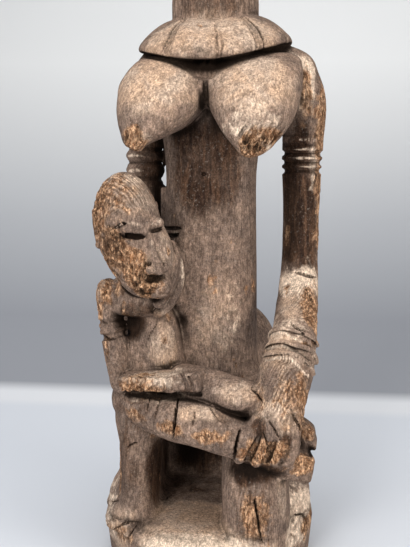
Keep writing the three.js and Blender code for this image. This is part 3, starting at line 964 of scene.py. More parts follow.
@dataclass
class Arms:
    """The mother's arms: the left hand lies over the right wrist."""

    band: float = 1.6
    cord: float = 2.0
    finger: float = 5.6

    def __post_init__(self) -> None:
        """Draws the two arms."""
        self.left = Limb([
            (65, 4, 339.5, 18.5), (73, 6, 318, 18), (73, 6, 290, 16.7), (72.6, 6, 268, 16),
            (72.6, 5, 240, 14.8), (72.2, 4, 205, 14.6), (71.8, 0, 181, 15.5),
            (70.5, -20, 160, 16.6), (69, -40, 144, 17.4), (65.5, -54, 130, 18.8),
            (63, -62, 118, 20), (60, -70, 106, 18.5),
        ])
        self.right = Limb([
            (-46, 5, 336, 17), (-52, 6, 312, 16), (-52.6, 6, 282, 15), (-54, 6, 240, 14.4),
            (-59, 8, 190, 14), (-64, 4, 140, 14.5), (-61, -16, 102, 15),
        ])
        self.forearm = Limb([
            (-60, -14, 96, 14), (-58, -44, 88, 14), (-38, -62, 85.5, 15), (-18, -73, 83.5, 16.4),
            (2, -79, 82, 16.8), (22, -82, 76, 15.5), (44, -80, 67, 14), (61, -74, 57, 13),
            (71, -68, 51, 10),
        ])

    def carve_right(self, block: Block) -> None:
        """Adds the right arm and the forearm under the child."""
        block.add(self.right, blend=5.0)
        for height, thick in ((277.0, 3.0), (265.5, 4.0)):
            block.add(self.right.ring((-53, 6, height), thick, 1.3 - thick), blend=0.8)
        for height in (282.0, 271.5, 259.0):
            block.cut(self.right.ring((-53, 6, height), self.band, 0.2), blend=0.4)
        block.add(self.forearm, blend=1.2)
        end = Brick((70.5, -66, 50), (13, 11, 10.5), 4.0, turning(y=12, z=10))
        block.add(end, blend=4.0)
        block.add(Brick((72, -62, 60), (8, 8, 6), 3.0), blend=3.0)

    def carve_left(self, block: Block) -> None:
        """Adds the left arm with its bands, hand and fingers."""
        block.add(self.left, blend=5.0)
        palm = Limb([(61, -66, 117, 18, 15), (60, -76, 102, 18.5, 14), (58, -83, 90, 18, 12),
                     (54, -85.5, 79, 20.5, 9.5), (49, -87, 69, 17.5, 7.5)])
        block.add(palm, blend=4.0)
        for row, height in enumerate((293.0, 285.0, 278.5, 271.5, 265.0)):
            start, stop = ((85, 175) if row < 2 else (0, 360))
            thick = self.band + 0.5 - 0.4 * (row < 2)
            block.cut(self.left.ring((73, 6, height), thick, 0.1, start, stop), blend=0.5)
        self.wrist_cords(block)
        self.fingers(block)

    def wrist_cords(self, block: Block) -> None:
        """Adds the three thin raised cords across the left wrist, with hollows between."""
        cords = [
            [(46, -46, 140, 0.9), (53, -51, 146, 1.8), (60, -56, 148.5, self.cord),
             (68, -56, 145, self.cord), (77, -50, 137, 1.8)],
            [(46.5, -54, 133.5, 0.9), (54, -60, 138.5, 1.8), (62, -65, 140.5, self.cord),
             (71, -64, 135, 2.2), (82, -56, 125.5, 2.0)],
            [(47, -60, 128, 0.9), (56, -68, 132.5, 1.8), (66, -71.5, 132.5, self.cord),
             (73, -70, 126, 2.0), (79, -65, 119, 1.6)],
        ]
        hollows = [
            [(50, -50, 139, 1.6), (57, -58, 143.5, 2.8), (66, -61, 142, 3.0), (76, -58, 133, 2.6)],
            [(50, -58, 133, 1.6), (58, -66, 136.5, 2.6), (67, -69, 135, 2.8), (77, -65, 124, 2.6)],
            [(50, -64, 126, 1.4), (60, -71, 128.5, 2.4), (68, -74, 125.5, 2.4),
             (74, -73, 117, 1.4)],
        ]
        for hollow in hollows:
            block.groove(hollow, 1.5, 1.0)
        for cord in cords:
            block.add(block.trace(cord, 1.0), blend=0.4)

    def fingers(self, block: Block) -> None:
        """Adds four worn fingers side by side, with shallow gaps and blunt ends."""
        roots = [(40, -88, 84), (52, -87.5, 81), (62, -85, 77.5), (69, -80, 72)]
        tips = [(30.5, -91.5, 62.5), (43, -91.5, 60.5), (55.5, -89, 60.5), (65, -84, 58)]
        for root, tip in zip(roots, tips):
            middle = tuple((p + q) / 2 + lift for p, q, lift in zip(root, tip, (0.4, -2.0, 0.6)))
            finger = [(*root, self.finger), (*middle, self.finger), (*tip, self.finger - 1.2)]
            block.add(Limb(finger, step=4.0), blend=1.8)
        for k in range(3):
            root, tip = halfway(roots[k], roots[k + 1]), halfway(tips[k], tips[k + 1])
            spots = ((root, 5, 0.9), (halfway(root, tip), 5, 1.9), (tip, 3, 2.0))
            gap = [(x, y - ahead, z, thick) for (x, y, z), ahead, thick in spots]
            block.groove(gap, 2.6, 0.3)


@dataclass
class Child:
    """The child across the lap: chest, trunk, right arm, leg and head."""

    head: ChildHead = field(default_factory=ChildHead)
    crease: float = 1.3

    def carve(self, block: Block) -> None:
        """Adds the child to the block."""
        self.trunk(block)
        self.leg(block)
        self.arm(block)
        self.head.carve(block)

    def trunk(self, block: Block) -> None:
        """Adds the trunk and the bowl-shaped chest that holds up the head.

        The limbs along the chest's rim fill the gap between it and the jaw.
        """
        trunk = [
            (-39, -34, 88, 27, 25), (-39.5, -34, 104, 25.5, 23), (-40, -35, 120, 24.5, 20.5),
            (-41, -36, 133, 21.5, 18.5), (-42, -36, 146, 19.5, 17), (-44, -36, 162, 15.5, 16),
        ]
        chest = [
            (-50, -40, 154, 10, 11), (-50.5, -41, 157.5, 18.5, 17.5),
            (-48.5, -41.5, 161.4, 22.5, 20.5), (-45.5, -41, 167, 25, 22.5),
            (-43, -40, 176, 27, 24), (-41.5, -38.5, 182, 27.2, 24.5), (-40, -38.5, 187, 26, 24),
            (-38.5, -38, 196.6, 22.7, 22), (-38, -37, 204, 19.5, 19), (-37, -36, 211, 14.7, 13),
        ]
        block.add(Column(trunk, power=2.6), blend=9.0)
        block.cut(Ellipsoid((-58, -60, 148), (11, 12, 13), turning(y=20)), blend=6.0)
        block.add(Ellipsoid((-31, -40, 134), (10, 14, 27)), blend=6.0)
        block.add(Ellipsoid((-19, -30, 186), (9, 9, 30)), blend=8.0)
        block.add(Column(chest, power=2.2, edge=4.0), blend=1.5)
        block.add(Ellipsoid((-67, -42, 171), (10, 12, 13)), blend=4.0)
        rim = [(-23, -52, 212, 3.0), (-19.4, -55, 199, 5.0), (-18.4, -57, 188, 5.6),
               (-20.4, -59, 177, 5.6), (-25, -62, 168, 5.0), (-32, -63, 161, 4.0)]
        block.add(Limb(rim), blend=3.0)
        under = [(-20, -64, 200, 3.5), (-21.5, -66, 190, 4.5), (-24.5, -69, 180, 5),
                 (-30, -71, 171, 5)]
        block.add(Limb(under), blend=4.0)
        seam = [(-16, -30, 212, 0.8), (-10.5, -38, 198, 1.0), (-9, -42, 186, 1.2),
                (-11.5, -42, 172, 1.2), (-18, -40, 160, 1.0)]
        block.groove(seam, 0.8, 1.0)

    def leg(self, block: Block) -> None:
        """Adds the leg, its kneecap and the foot that shows behind the mother's hand."""
        leg = [(-14, -54, 106, 15), (4, -63, 106, 15), (18, -69, 104, 14.5),
               (34, -71, 101, 13.5), (48, -70, 93, 12), (66, -62, 79, 11), (86, -58, 70, 11.5)]
        block.add(Limb(leg), blend=2.0)
        hollow = [(10, -84, 97, 1.2), (17, -90, 92, 2.6), (27, -93, 89.5, 3.2), (37, -91, 91, 2.8),
                  (44, -88, 95.5, 1.2)]
        block.cut(Limb(hollow, step=4.0), blend=1.0)
        block.add(Ellipsoid((28, -75, 101.5), (18.5, 13, 10.5), turning(x=-12, y=3)), blend=1.0)
        block.cut(Brick((101, -58, 70), (15, 26, 26), 3.0, turning(z=4)), blend=2.5)
        block.cut(Brick((90.5, -56, 87), (12, 24, 12), 2.0, turning(y=45)), blend=3.0)

    def arm(self, block: Block) -> None:
        """Adds the right arm and the flat forearm on the mother's arm."""
        upper = Limb([(-75, -37, 176, 7.5), (-73.5, -40, 166, 10, 11), (-71, -43, 148, 11, 12),
                      (-67, -46, 128, 10.8, 12), (-64.5, -48, 112, 10, 11),
                      (-61.5, -52, 105, 10, 10)])
        block.add(upper, blend=1.0)
        cuts = [((-72, -43, 151), 1.3), ((-71, -43, 146), 0.9), ((-70, -44, 139.5), 2.2)]
        for place, thick in cuts:
            block.cut(upper.ring(place, thick), blend=0.4)
        block.add(Ellipsoid((-76.3, -44, 170.5), (7.6, 9, 13.5)), blend=1.0)
        slab = Brick((-38, -64, 110), (23, 11, 6.3), 2.2, turning(x=6, y=-5, z=-16))
        block.add(slab, blend=0.8)
        fist = Brick((-8, -71, 114.2), (12.5, 11, 7.6), 3.2, turning(x=6, y=-5, z=-14))
        block.add(fist, blend=2.0)
        slot = Brick((-29, -76, 101.6), (31, 10, 1.7), 1.2, turning(y=-6.2, z=-17))
        block.cut(slot, blend=0.4)
        lines = [
            [(-16, -68, 124, 0.8), (-11, -80, 119, 1.2), (-9, -83, 112, 1.2), (-9, -82, 106, 0.9)],
            [(-8, -70, 122, 0.7), (-4.5, -81, 116, 1.1), (-4, -82, 109, 0.9)],
        ]
        for line in lines:
            block.groove(line, 1.7, 0.3)


class Seed(IntEnum):
    """Seeds of the layers of noise. Each axis of the cracks' sway adds 0, 1 or 2 to its own."""

    RAGGED = 3
    SPOTS = 8
    RING_SWAY = 21
    RING_WAVER = 22
    CRACK_SWAY = 40
    FIBRE = 51
    TOOL = 52
    PITS = 53
    CHIPS = 54


@dataclass(frozen=True)
class Noise:
    """Seeded smooth noise over space."""

    seed: int

    def single(self, points: Array) -> Array:
        """Gives one layer of noise, from -1 to 1, with features one unit wide."""
        base = np.floor(points)
        f = (points - base).astype(np.float32)
        f = f * f * (3 - 2 * f)
        cell = base.astype(np.int64).astype(np.uint32)
        total = np.zeros(len(points), np.float32)
        for corner in range(8):
            step = np.array([corner & 1, corner >> 1 & 1, corner >> 2 & 1], np.uint32)
            x, y, z = (cell + step).T
            mixed = x * CELL_MIX[0] ^ y * CELL_MIX[1] ^ z * CELL_MIX[2]
            mixed = (mixed ^ np.uint32(self.seed * 2654435761 & 0xFFFFFFFF)) * np.uint32(1274126177)
            mixed = (mixed ^ (mixed >> np.uint32(15))) * np.uint32(2246822519)
            mixed = mixed ^ (mixed >> np.uint32(13))
            weight = np.where(step.astype(bool), f, 1 - f).prod(1)
            total += weight * (mixed.astype(np.float32) / np.float32(2147483648.0) - 1)
        return total

    def layered(self, points: Array, size: Point | float, layers: int) -> Array:
        """Gives several layers of noise, each half the size and strength of the one before.

        Args:
            points: places, in millimetres.
            size: width of the largest features along each axis, in millimetres.
            layers: number of layers.

        Returns:
            Values from about -1 to 1.
        """
        total = np.zeros(len(points), np.float32)
        scaled = points / np.array(size, float)
        for k in range(layers):
            shifted = scaled * 2.0 ** k + 17.3 * (k + 1)
            total += Noise(self.seed + 31 * k).single(shifted) * np.float32(0.5 ** k)
        return total / np.float32(2 - 0.5 ** (layers - 1))


@dataclass(frozen=True)
class Patch:
    """A soft-edged area of the surface round a place."""

    centre: Point
    radii: Point
    strength: float = 1.0

    def cover(self, points: Array, ragged: Array) -> Array:
        """Strength of the patch at each point. ragged moves its edge in and out."""
        off = (points - np.array(self.centre)) / np.array(self.radii)
        far = np.sqrt((off ** 2).sum(1)) + 0.4 * ragged
        return self.strength * smoothstep(1.25, 0.5, far)


def patches(rows: Stations) -> list[Patch]:
    """Makes patches from rows of the centre, the radii and, where it isn't 1, the strength."""
    return [Patch(row[:3], row[3:6], *row[6:]) for row in rows]


def cover(areas: list[Patch], points: Array, ragged: Array) -> Array:
    """Strength of the strongest of several patches at each point."""
    most = np.zeros(len(points))
    for patch in areas:
        most = np.maximum(most, patch.cover(points, ragged))
    return most


# Ways that parts of the surface face.
AHEAD = (0.0, -1.0, 0.0)
BEHIND = (0.0, 1.0, 0.0)
LEFT_ARM = (0.3, -0.95, 0.0)
RIGHT_ARM = (-0.3, -0.95, 0.0)
LEFT_FLUTE = (0.3, -0.8, 0.5)
RIGHT_FLUTE = (-0.3, -0.8, 0.5)
RIGHT_SIDE = (-0.5, -0.85, 0.0)


@dataclass(frozen=True)
class Crack:
    """A drying crack that opens along a line on the surface, a carved line darkened there with
    painted shade, or a stripe of colour there, painted shade in a groove and painted highlight on a
    ridge.

    Where it marks a stripe, depth is the stripe's strength. facing is the way the surface faces,
    and room is how far from the line the surface may lie along it.
    """

    line: list[Point]
    width: float
    depth: float
    facing: Point
    room: float = 9.0

    def opening(self, points: Array) -> Array:
        """How far open the crack is at each point, from 0 outside it to 1 in its middle."""
        facing = np.array(self.facing) / np.linalg.norm(self.facing)
        places = np.array(self.line)
        stretch = np.linalg.norm(np.diff(places, axis=0), axis=1)
        total = stretch.sum()
        most = np.zeros(len(points))
        run = 0.0
        for a, b, length in zip(places[:-1], places[1:], stretch):
            way = (b - a) - facing * float(np.dot(b - a, facing))
            off = points - a
            t = np.clip(off @ way / max(float(way @ way), 1e-6), 0.0, 1.0)
            q = off - t[:, None] * (b - a)
            lift = q @ facing
            q = q - lift[:, None] * facing
            share = (run + t * length) / total
            wide = self.width * (0.35 + 0.65 * np.sin(math.pi * np.clip(share, 0.06, 0.94)))
            open_here = smoothstep(1.0, 0.15, np.sqrt((q ** 2).sum(1)) / wide)
            most = np.maximum(most, open_here * (np.abs(lift) < self.room))
            run += length
        return most


def cracks_facing(facing: Point, rows: list[tuple[list[Point], float, float]]) -> list[Crack]:
    """Makes cracks, cut lines and stripes of painted highlight that face one way, from rows of
    line, width and depth.
    """
    return [Crack(*row, facing) for row in rows]


def left_stripe(x: float, height: float, width: float, strength: float) -> Crack:
    """Makes a level stripe across the mother's left upper arm, from x outwards, used as painted
    shade in a band's groove and as painted highlight on a ridge.
    """
    line = [(x, -11, height), (78, -10, height), (87, -3, height)]
    return Crack(line, width, strength, LEFT_ARM)


def right_stripe(inner: tuple[float, float], height: float, width: float,
                 strength: float) -> Crack:
    """Makes a level stripe across the mother's right upper arm, from outside to inner, used as
    painted shade in a band's groove and as painted highlight on a ridge.
    """
    line = [(-67, -4, height), (-58, -10, height), (*inner, height)]
    return Crack(line, width, strength, RIGHT_ARM)


# Where the surface is worn, ringed and so on. FINE marks where the mesh keeps small shapes.
# DARK and PALE hold stain and dust together with painted shade and painted light, DEEP and
# SHADED paint shade into the undercuts, slits and bands, and CREAM and RIDGES paint highlights
# on the raised places.
WORN = patches([
    (-72, -66, 236, 17, 24, 36, 0.85), (-74, -44, 172, 10, 12, 14, 0.9),
    (-60, -84, 212, 18, 16, 22, 0.9), (-40, -88, 188, 16, 12, 16, 0.95),
    (-48, -90, 200, 14, 10, 18, 0.9), (-46, -74, 290, 11, 14, 12, 0.85),
    (80, -30, 156, 10, 24, 34, 0.7), (62, -80, 98, 20, 14, 26, 0.7),
    (-62, -74, 244, 20, 22, 26, 0.6), (-42, -70, 108, 22, 14, 9, 0.7),
    (-66, -46, 118, 9, 12, 18, 0.6), (74, -66, 92, 12, 12, 14, 0.8),
    (-62, -64, 200, 13, 18, 24, 0.9), (-47, -86, 204, 9, 9, 15),
    (-38, -76, 181, 13, 14, 9), (-68, -77, 228, 8, 12, 10, 0.8), (-80, -42, 160, 7, 13, 26),
    (-73, -52, 125, 6, 9, 22, 0.5), (-44, -74, 103, 20, 9, 7), (-20, -89, 82, 15, 8, 7, 0.9),
    (10, -96, 79, 16, 7, 6, 0.8), (-48, -72, 85, 12, 10, 8, 0.6), (38, -78, 283, 11, 14, 10),
    (47, -72, 290, 15, 14, 9, 0.9), (74, -12, 328, 6, 8, 20, 0.8),
    (88, -2, 300, 8, 12, 40, 0.75), (88, 0, 235, 8, 12, 55, 0.7), (82, -38, 160, 9, 22, 26, 0.9),
    (70, -80, 108, 12, 14, 18, 0.9), (50, -96, 68, 26, 9, 10, 0.9), (74, -77, 54, 15, 14, 9, 0.9),
    (79, -65, 76, 8, 10, 8, 0.7), (43, -88, 19, 13, 8, 22, 0.8), (82, -28, -14, 9, 46, 12, 0.9),
    (-60, -62, -12, 20, 20, 10, 0.5), (-66, -54, 34, 5, 10, 28, 0.7),
    (-66, -58, 178, 10, 8, 8, 0.8), (-66, -10, -24, 26, 26, 12, 0.6),
    (-55, 30, 60, 14, 20, 16, 0.4), (20, 40, 300, 16, 12, 24, 0.4),
    (-20, 95, -20, 40, 10, 14, 0.6),
])
RINGED = patches([
    (-72, -66, 236, 20, 30, 38), (-62, -74, 210, 20, 22, 36), (-50, -86, 200, 14, 12, 22, 0.6),
    (46, -74, 290, 20, 18, 16, 0.2), (66, -76, 100, 26, 22, 40, 0.8),
    (43, -88, 22, 18, 10, 30, 0.6), (-58, -76, 248, 26, 24, 24, 0.8),
    (-30, -70, 112, 36, 16, 12, 0.6), (-60, -70, 84, 40, 20, 14, 0.6),
    (78, -40, -10, 18, 40, 16, 0.7), (-74, -50, -14, 18, 40, 16, 0.6),
    (76, -30, 160, 14, 26, 34, 0.6),
])
# CREAM: painted highlights on the lit raised places, rims and shoulders.
CREAM = patches([
    (28, -36, 150, 16, 14, 36, 0.4), (84, -12, 266, 9, 14, 26, 0.5),
    (-28, -92, 212, 9, 12, 22, 0.2), (-58, -72, 262, 22, 20, 16, 0.5),
    (-50, -86, 226, 10, 8, 5, 0.3), (44, -76, 286, 15, 14, 11, 0.8), (0, -92, -20, 70, 22, 26),
    (68, -30, 6, 20, 24, 22, 0.7), (72, -12, 335, 11, 13, 24), (-38, -74, 114, 30, 14, 7, 0.75),
    (-29.5, -85, 231, 6, 8, 5, 0.3), (-66, -32, 4, 20, 24, 22, 0.5),
    (62, -78, 108, 20, 14, 16, 0.6), (-80, -44, 178, 10, 14, 12, 0.6),
    (-30, -70, 100, 34, 14, 8, 0.4), (71, -14, 176, 20, 26, 18), (68, -46, 140, 20, 24, 22, 0.75),
    (60, -84, 100, 16, 12, 18, 0.6), (78, -40, -12, 16, 46, 16),
    (38, -72, 300, 26, 20, 18, 0.55), (62, -12, 332, 9, 14, 26, 0.85),
    (-74, -46, -12, 16, 40, 16, 0.6), (-16, -54, 188, 6, 9, 24, 0.6),
    (-22, -70, 118, 20, 12, 6, 0.6), (-44, -74, 290, 12, 14, 10, 0.5),
    (60, -50, -6, 26, 26, 10, 0.7),
])
# DEEP: painted shade inside the eye slits and nostril, in the hollow between the shins, under the
# hand, the child's chest and the collar, and inside the upper arms.
DEEP = patches([
    (-46, -88, 221.1, 11, 7.5, 2.6), (-30, -94, 192.5, 5.5, 5, 1.7), (-58, -50, 153, 12, 14, 10),
    (78, -64, 63, 9, 10, 4, 0.8), (40, -80, 50, 26, 13, 8), (-30.5, -88, 225.2, 4.5, 5, 1.6, 0.8),
    (38, -86, 52, 22, 8, 8), (-21, 20, 28, 19, 46, 30), (-52, -48, 148, 11, 12, 12, 0.75),
    (1, -45, 342, 28, 13, 7), (64, -8, 236, 9, 12, 56, 0.6), (-50, -6, 262, 10, 16, 40, 0.5),
    (8, -34, 300, 9, 10, 14, 0.8), (74, -60, 56, 8, 6, 4, 0.6),
])
# DARK: dark stain, and painted shade in the hollow between the shins, under the hand, forearms,
# breasts, the child's chest and chin, and on the upper arms.
DARK = patches([
    (-4, -32, 270, 42, 16, 46, 0.75), (3, -30, 392, 46, 24, 20, 0.5), (72, 0, 222, 18, 26, 66),
    (-54, -48, 150, 13, 16, 13, 0.9), (-44, -64, 162, 26, 10, 9, 0.6),
    (-30, -74, 175, 20, 12, 5, 0.6), (40, -84, 52, 28, 12, 12), (-56, -58, 42, 15, 15, 40, 0.6),
    (-12, 10, 26, 32, 46, 32), (-30, -30, 250, 12, 18, 40, 0.4), (69, 4, 254, 17, 24, 66, 0.95),
    (-46, 8, 260, 17, 20, 92, 0.9), (4, -28, 292, 56, 16, 15, 0.85),
    (-14, 6, 30, 30, 40, 34, 0.9), (-38, -44, 34, 9, 30, 34, 0.75), (38, -84, 47, 22, 8, 9, 0.9),
    (46, -93, 86, 7, 7, 9, 0.8), (64, -92, 77, 5, 7, 6, 0.9), (-71, -58, 165, 6, 8, 8, 0.9),
    (-10, -85, 106, 14, 7, 6, 0.7), (78, -62, 62, 10, 8, 6, 0.7),
    (-22, -78, 92, 8, 8, 9, 0.5), (-42, -74, 93, 9, 8, 6, 0.5), (20, -86, 91, 20, 8, 6, 0.5),
    (36, -86, 8, 8, 8, 12, 0.5), (10, 40, 60, 60, 26, 26, 0.5), (0, 34, 240, 30, 12, 60, 0.35),
])
# PALE: pale dust, and painted light on the lit tops, fronts and rims of the collar, breasts, hands
# and plinth.
PALE = patches([
    (16, -36, 150, 34, 16, 40, 0.5), (-24, -72, 212, 9, 22, 26, 0.5),
    (3, -38, 364, 66, 34, 24, 0.9), (-34, -52, 322, 34, 32, 30, 0.95),
    (36, -54, 322, 36, 34, 34, 0.95), (0, -88, 93, 24, 9, 7, 0.8), (62, -60, 124, 20, 24, 30),
    (2, -80, -10, 64, 34, 18), (70, -26, 150, 17, 26, 34), (58, -84, 92, 18, 14, 20, 0.9),
    (76, -40, -8, 22, 44, 18), (-70, -60, -14, 22, 40, 18, 0.9), (66, -40, 166, 13, 22, 22, 0.8),
    (-4, -50, 0, 48, 34, 7, 0.8), (27, -82, 108, 20, 12, 9, 0.7),
    (-50, -78, 247, 24, 24, 24, 0.6), (-28, -54, 130, 16, 12, 24, 0.7),
    (-36, -66, 160, 20, 10, 9, 0.7), (62, -72, 26, 6, 14, 28, 0.6),
    (-30, -66, 116, 30, 8, 5, 0.9), (-30, -86, 200, 8, 12, 20, 0.7),
    (60, -60, -4, 16, 24, 6, 0.7), (-58, -58, 4, 14, 18, 10, 0.6), (3, 40, 362, 60, 30, 20, 0.6),
])
FINE = patches([
    (-52, -70, 219, 34, 42, 56), (62, -64, 114, 30, 36, 48), (48, -88, 72, 34, 14, 20),
    (-30, -70, 108, 38, 16, 16), (-72, -46, 142, 16, 18, 44), (42, -72, 284, 20, 20, 16),
    (-44, -68, 288, 12, 16, 10, 0.8), (26, -84, 96, 26, 14, 16, 0.9),
    (8, -40, 360, 62, 30, 18, 0.7), (76, 2, 280, 16, 18, 24, 0.8), (-28, -22, 218, 15, 14, 8),
    (3, -40, 505, 40, 30, 70, 0.8), (0, -80, 82, 60, 14, 22, 0.6), (43, -88, 20, 16, 10, 28, 0.5),
    (50, -60, -6, 40, 34, 12, 0.5), (-56, -64, -6, 20, 20, 14, 0.5),
    (-36, -60, 165, 34, 14, 22, 0.6), (78, -58, 62, 12, 14, 26, 0.6),
])
# Drying cracks, and the lines of the eye slits, nostrils, mouth, collar, flutes and torso marks.
# They cut into the surface and are coloured dark, which in the carved lines is painted shade.
CRACKS_AND_CUT_LINES = [
    *cracks_facing(AHEAD, [
        ([(-15, -74, 101), (-15.6, -85.7, 93.3), (-16.5, -89.6, 84.9),
          (-18, -87.1, 73)], 1.5, 4.5),
        ([(-28.5, -75, 100), (-30.5, -79.5, 93.9), (-31.5, -82.5, 87)], 0.9, 2.2),
        ([(-37.6, -73, 98.5), (-38.6, -77.3, 90)], 0.8, 1.8),
        ([(-1.4, -87.1, 95), (-2.5, -93, 86)], 0.8, 1.8),
        ([(31, -92, 84), (29.2, -95, 76), (26.7, -94.9, 62)], 1.6, 4.5),
        ([(38.5, -75, 110.6), (42.7, -83.4, 107.2), (46.4, -87.4, 103)], 0.9, 2.0),
        ([(67, -86, 99), (71.4, -88, 90.5), (74.3, -86, 83)], 1.0, 2.5),
        ([(50, -90, 94), (56, -93.5, 85.2), (60.3, -94, 77)], 0.9, 2.0),
        ([(47, -94, 84), (51.5, -94.4, 74)], 0.9, 2.0),
        ([(68, -13.3, 187), (74.5, -13.9, 185.8), (80, -13, 183.7), (85, -9, 182.2)], 1.3, 2.6),
        ([(76, -24, 177), (79.5, -26, 171), (83, -27, 165)], 0.9, 1.8),
        ([(66, -53, 154), (74.9, -54.2, 148.5), (82.5, -45.7, 139)], 1.1, 2.4),
        ([(41, -86, 30), (44, -87.5, 17), (45.2, -88.5, 7.8), (48, -89, -2)], 1.2, 3.0),
        ([(-57, -64.6, 57), (-52.6, -64.5, 60.3), (-48, -64.4, 61.7)], 0.9, 2.0),
        ([(-42.1, -54.7, 138), (-38.9, -55, 144.5), (-35, -58.3, 151)], 0.7, 1.4),
        ([(-33.5, -87, 223.8), (-30.3, -84, 224.2), (-27.8, -80, 225.4)], 1.1, 1.0),
        ([(-33.2, -94.5, 193.0), (-29.5, -95.6, 192.4), (-25.4, -92, 192.8)], 1.7, 1.5),
        ([(-28.5, -88, 180.2), (-24, -86, 179.6), (-20.6, -80, 179.6)], 1.0, 1.0),
    ]),
    Crack([(-75, -41, 3), (-64, -60, 13)], 1.0, 2.2, (-0.6, -0.5, 0.6)),
    *cracks_facing((-0.4, -0.7, 0.5), [
        ([(-66, -60, -13), (-57, -63, -6.7), (-49, -66.7, -1)], 0.9, 2.2),
        ([(-58, -72, -13), (-48.5, -67.1, -4)], 0.8, 2.0),
    ]),
    Crack([(-36.7, -33, 0.7), (-28.3, -7.8, 0)], 0.8, 1.5, (0, 0, 1)),
    Crack([(72, -46, 2), (77, -36, -6), (83, -34, -14)], 0.9, 2.2, (0.7, -0.3, 0.5)),
    Crack([(58, -62, 0), (66, -57, -5), (74, -52, -14)], 1.0, 2.4, (0.6, -0.5, 0.5)),
    Crack([(48, -78, 0), (54, -76, -5), (58, -72, -14)], 0.9, 2.2, (0.4, -0.7, 0.5)),
    Crack([(30, 40, 330), (28, 40, 300), (31, 36, 262), (29, 36, 228)], 1.1, 3.0, (0.4, 1, 0), 12),
    Crack([(-12, 38, 210), (-10, 38, 180), (-13, 38, 150)], 0.9, 2.5, BEHIND, 12),
    Crack([(-30, 92, -6), (-28, 94, -24), (-29, 94, -40)], 1.3, 4.0, BEHIND),
    Crack([(34, 86, -4), (38, 88, -18), (36, 88, -36)], 1.3, 4.0, (0.3, 1, 0)),
    Crack([(-14, 44, 470), (-12, 46, 500), (-15, 48, 535)], 0.9, 2.2, (-0.3, 1, 0), 12),
    Crack([(-24, -24, 400), (-25, -24, 382)], 0.6, 1.2, (-0.6, -0.7, 0)),
    *cracks_facing((-0.5, -0.85, 0.1), [
        ([(-57.5, -87.4, 222.4), (-51, -90.4, 221.4), (-47, -91, 220.9)], 1.2, 1.0),
        ([(-52, -90, 221.4), (-44, -91.3, 220.8), (-37.4, -90.5, 220.4)], 2.5, 1.5),
    ]),
    *cracks_facing((-0.4, -0.9, 0), [
        ([(-82, -46, 151.5), (-76, -54, 151), (-68, -56, 150.5)], 0.8, 1.1),
        ([(-81, -47, 140), (-74, -55, 139.4), (-66, -56, 139)], 1.3, 1.4),
    ]),
    Crack([(-61, -83, 226), (-59, -85.5, 229)], 1.5, 1.2, (-0.6, -0.8, 0)),
    *cracks_facing(RIGHT_SIDE, [
        ([(-38, -12, 220.2), (-27, -24, 221), (-19, -29, 221.6)], 1.3, 1.4),
        ([(-38, -12, 214.6), (-27, -24, 215.4), (-19, -29, 216)], 1.3, 1.4),
    ]),
    *cracks_facing(RIGHT_FLUTE, [
        ([(-19.5, -24, 381), (-26, -35, 370), (-29, -44, 358), (-31, -47, 349)], 1.0, 1.1),
        ([(-15, -27, 379), (-21, -38, 369), (-24, -46, 357), (-25.5, -49, 349)], 0.8, 0.9),
    ]),
    *cracks_facing(LEFT_FLUTE, [
        ([(24.5, -28, 381), (33.5, -38, 370), (38, -45, 357), (40, -46, 350)], 0.8, 0.9),
        ([(29, -24, 381), (39.5, -34, 369), (44, -41, 357), (45, -42, 350)], 1.1, 1.2),
    ]),
    *cracks_facing((0, -0.8, 0.5), [
        ([(6.6, -36, 377), (8.5, -46, 370), (10.5, -55, 357), (12.3, -58, 345)], 0.8, 0.95),
        ([(12.1, -48, 366), (14.7, -54, 354), (12.3, -58, 345)], 0.7, 0.9),
    ]),
]
# RIDGES: stripes of painted highlight along the wrist cords, the ridges of the arm bands and the
# torso's marks.
RIDGES = [
    *cracks_facing(AHEAD, [
        ([(47, -46, 141), (53, -51, 146), (60, -56, 148.5), (68, -56, 145),
          (76, -50, 138)], 2.0, 1.0),
        ([(47, -54, 134), (54, -60, 138.5), (62, -65, 140.5), (71, -64, 135),
          (82, -56, 125.5)], 2.0, 1.0),
        ([(48, -61, 128.5), (56, -68, 132.5), (66, -71.5, 132.5), (73, -70, 126),
          (79, -65, 119)], 2.0, 1.0),
    ]),
    left_stripe(66, 289, 2.0, 0.7), left_stripe(66, 281.8, 1.8, 0.8),
    left_stripe(64, 275, 1.8, 0.8), left_stripe(70, 268.2, 1.6, 0.7),
    right_stripe((-52, -9), 276.8, 2.4, 0.6), right_stripe((-52, -9), 265.2, 2.6, 0.6),
    *cracks_facing(RIGHT_SIDE, [
        ([(-30, -30, 217.9), (-22, -31, 218.4)], 1.6, 0.8),
        ([(-32, -26, 212), (-20, -31, 213)], 1.4, 0.6),
    ]),
]
# SHADED: stripes of painted shade in the grooves of the arm bands, the collar's flutes and the
# trench under the collar.
SHADED = [
    right_stripe((-46, -8), 282, 1.5, 0.75), right_stripe((-46, -8), 271.5, 1.7, 0.85),
    right_stripe((-46, -8), 259, 1.5, 0.75),
    left_stripe(68, 293, 1.2, 0.8), left_stripe(68, 285, 1.2, 0.8),
    *(Crack([(60, -8, z), (72, -11, z), (87, -3, z)], 1.4, 0.85, LEFT_ARM)
      for z in (278.5, 271.5, 265)),
    Crack([(-17, -25, 380), (-23.5, -36, 369.5), (-26.5, -45, 357.5),
          (-28.2, -48, 349)], 3.6, 0.4, RIGHT_FLUTE),
    Crack([(26.7, -26, 381), (36.5, -36, 369.5), (41, -43, 357),
          (42.5, -44, 350)], 3.6, 0.4, LEFT_FLUTE),
    Crack([(-10, -50, 352), (2, -54, 349), (9, -57, 347)], 4.2, 0.4, (0, -0.9, 0.3)),
]


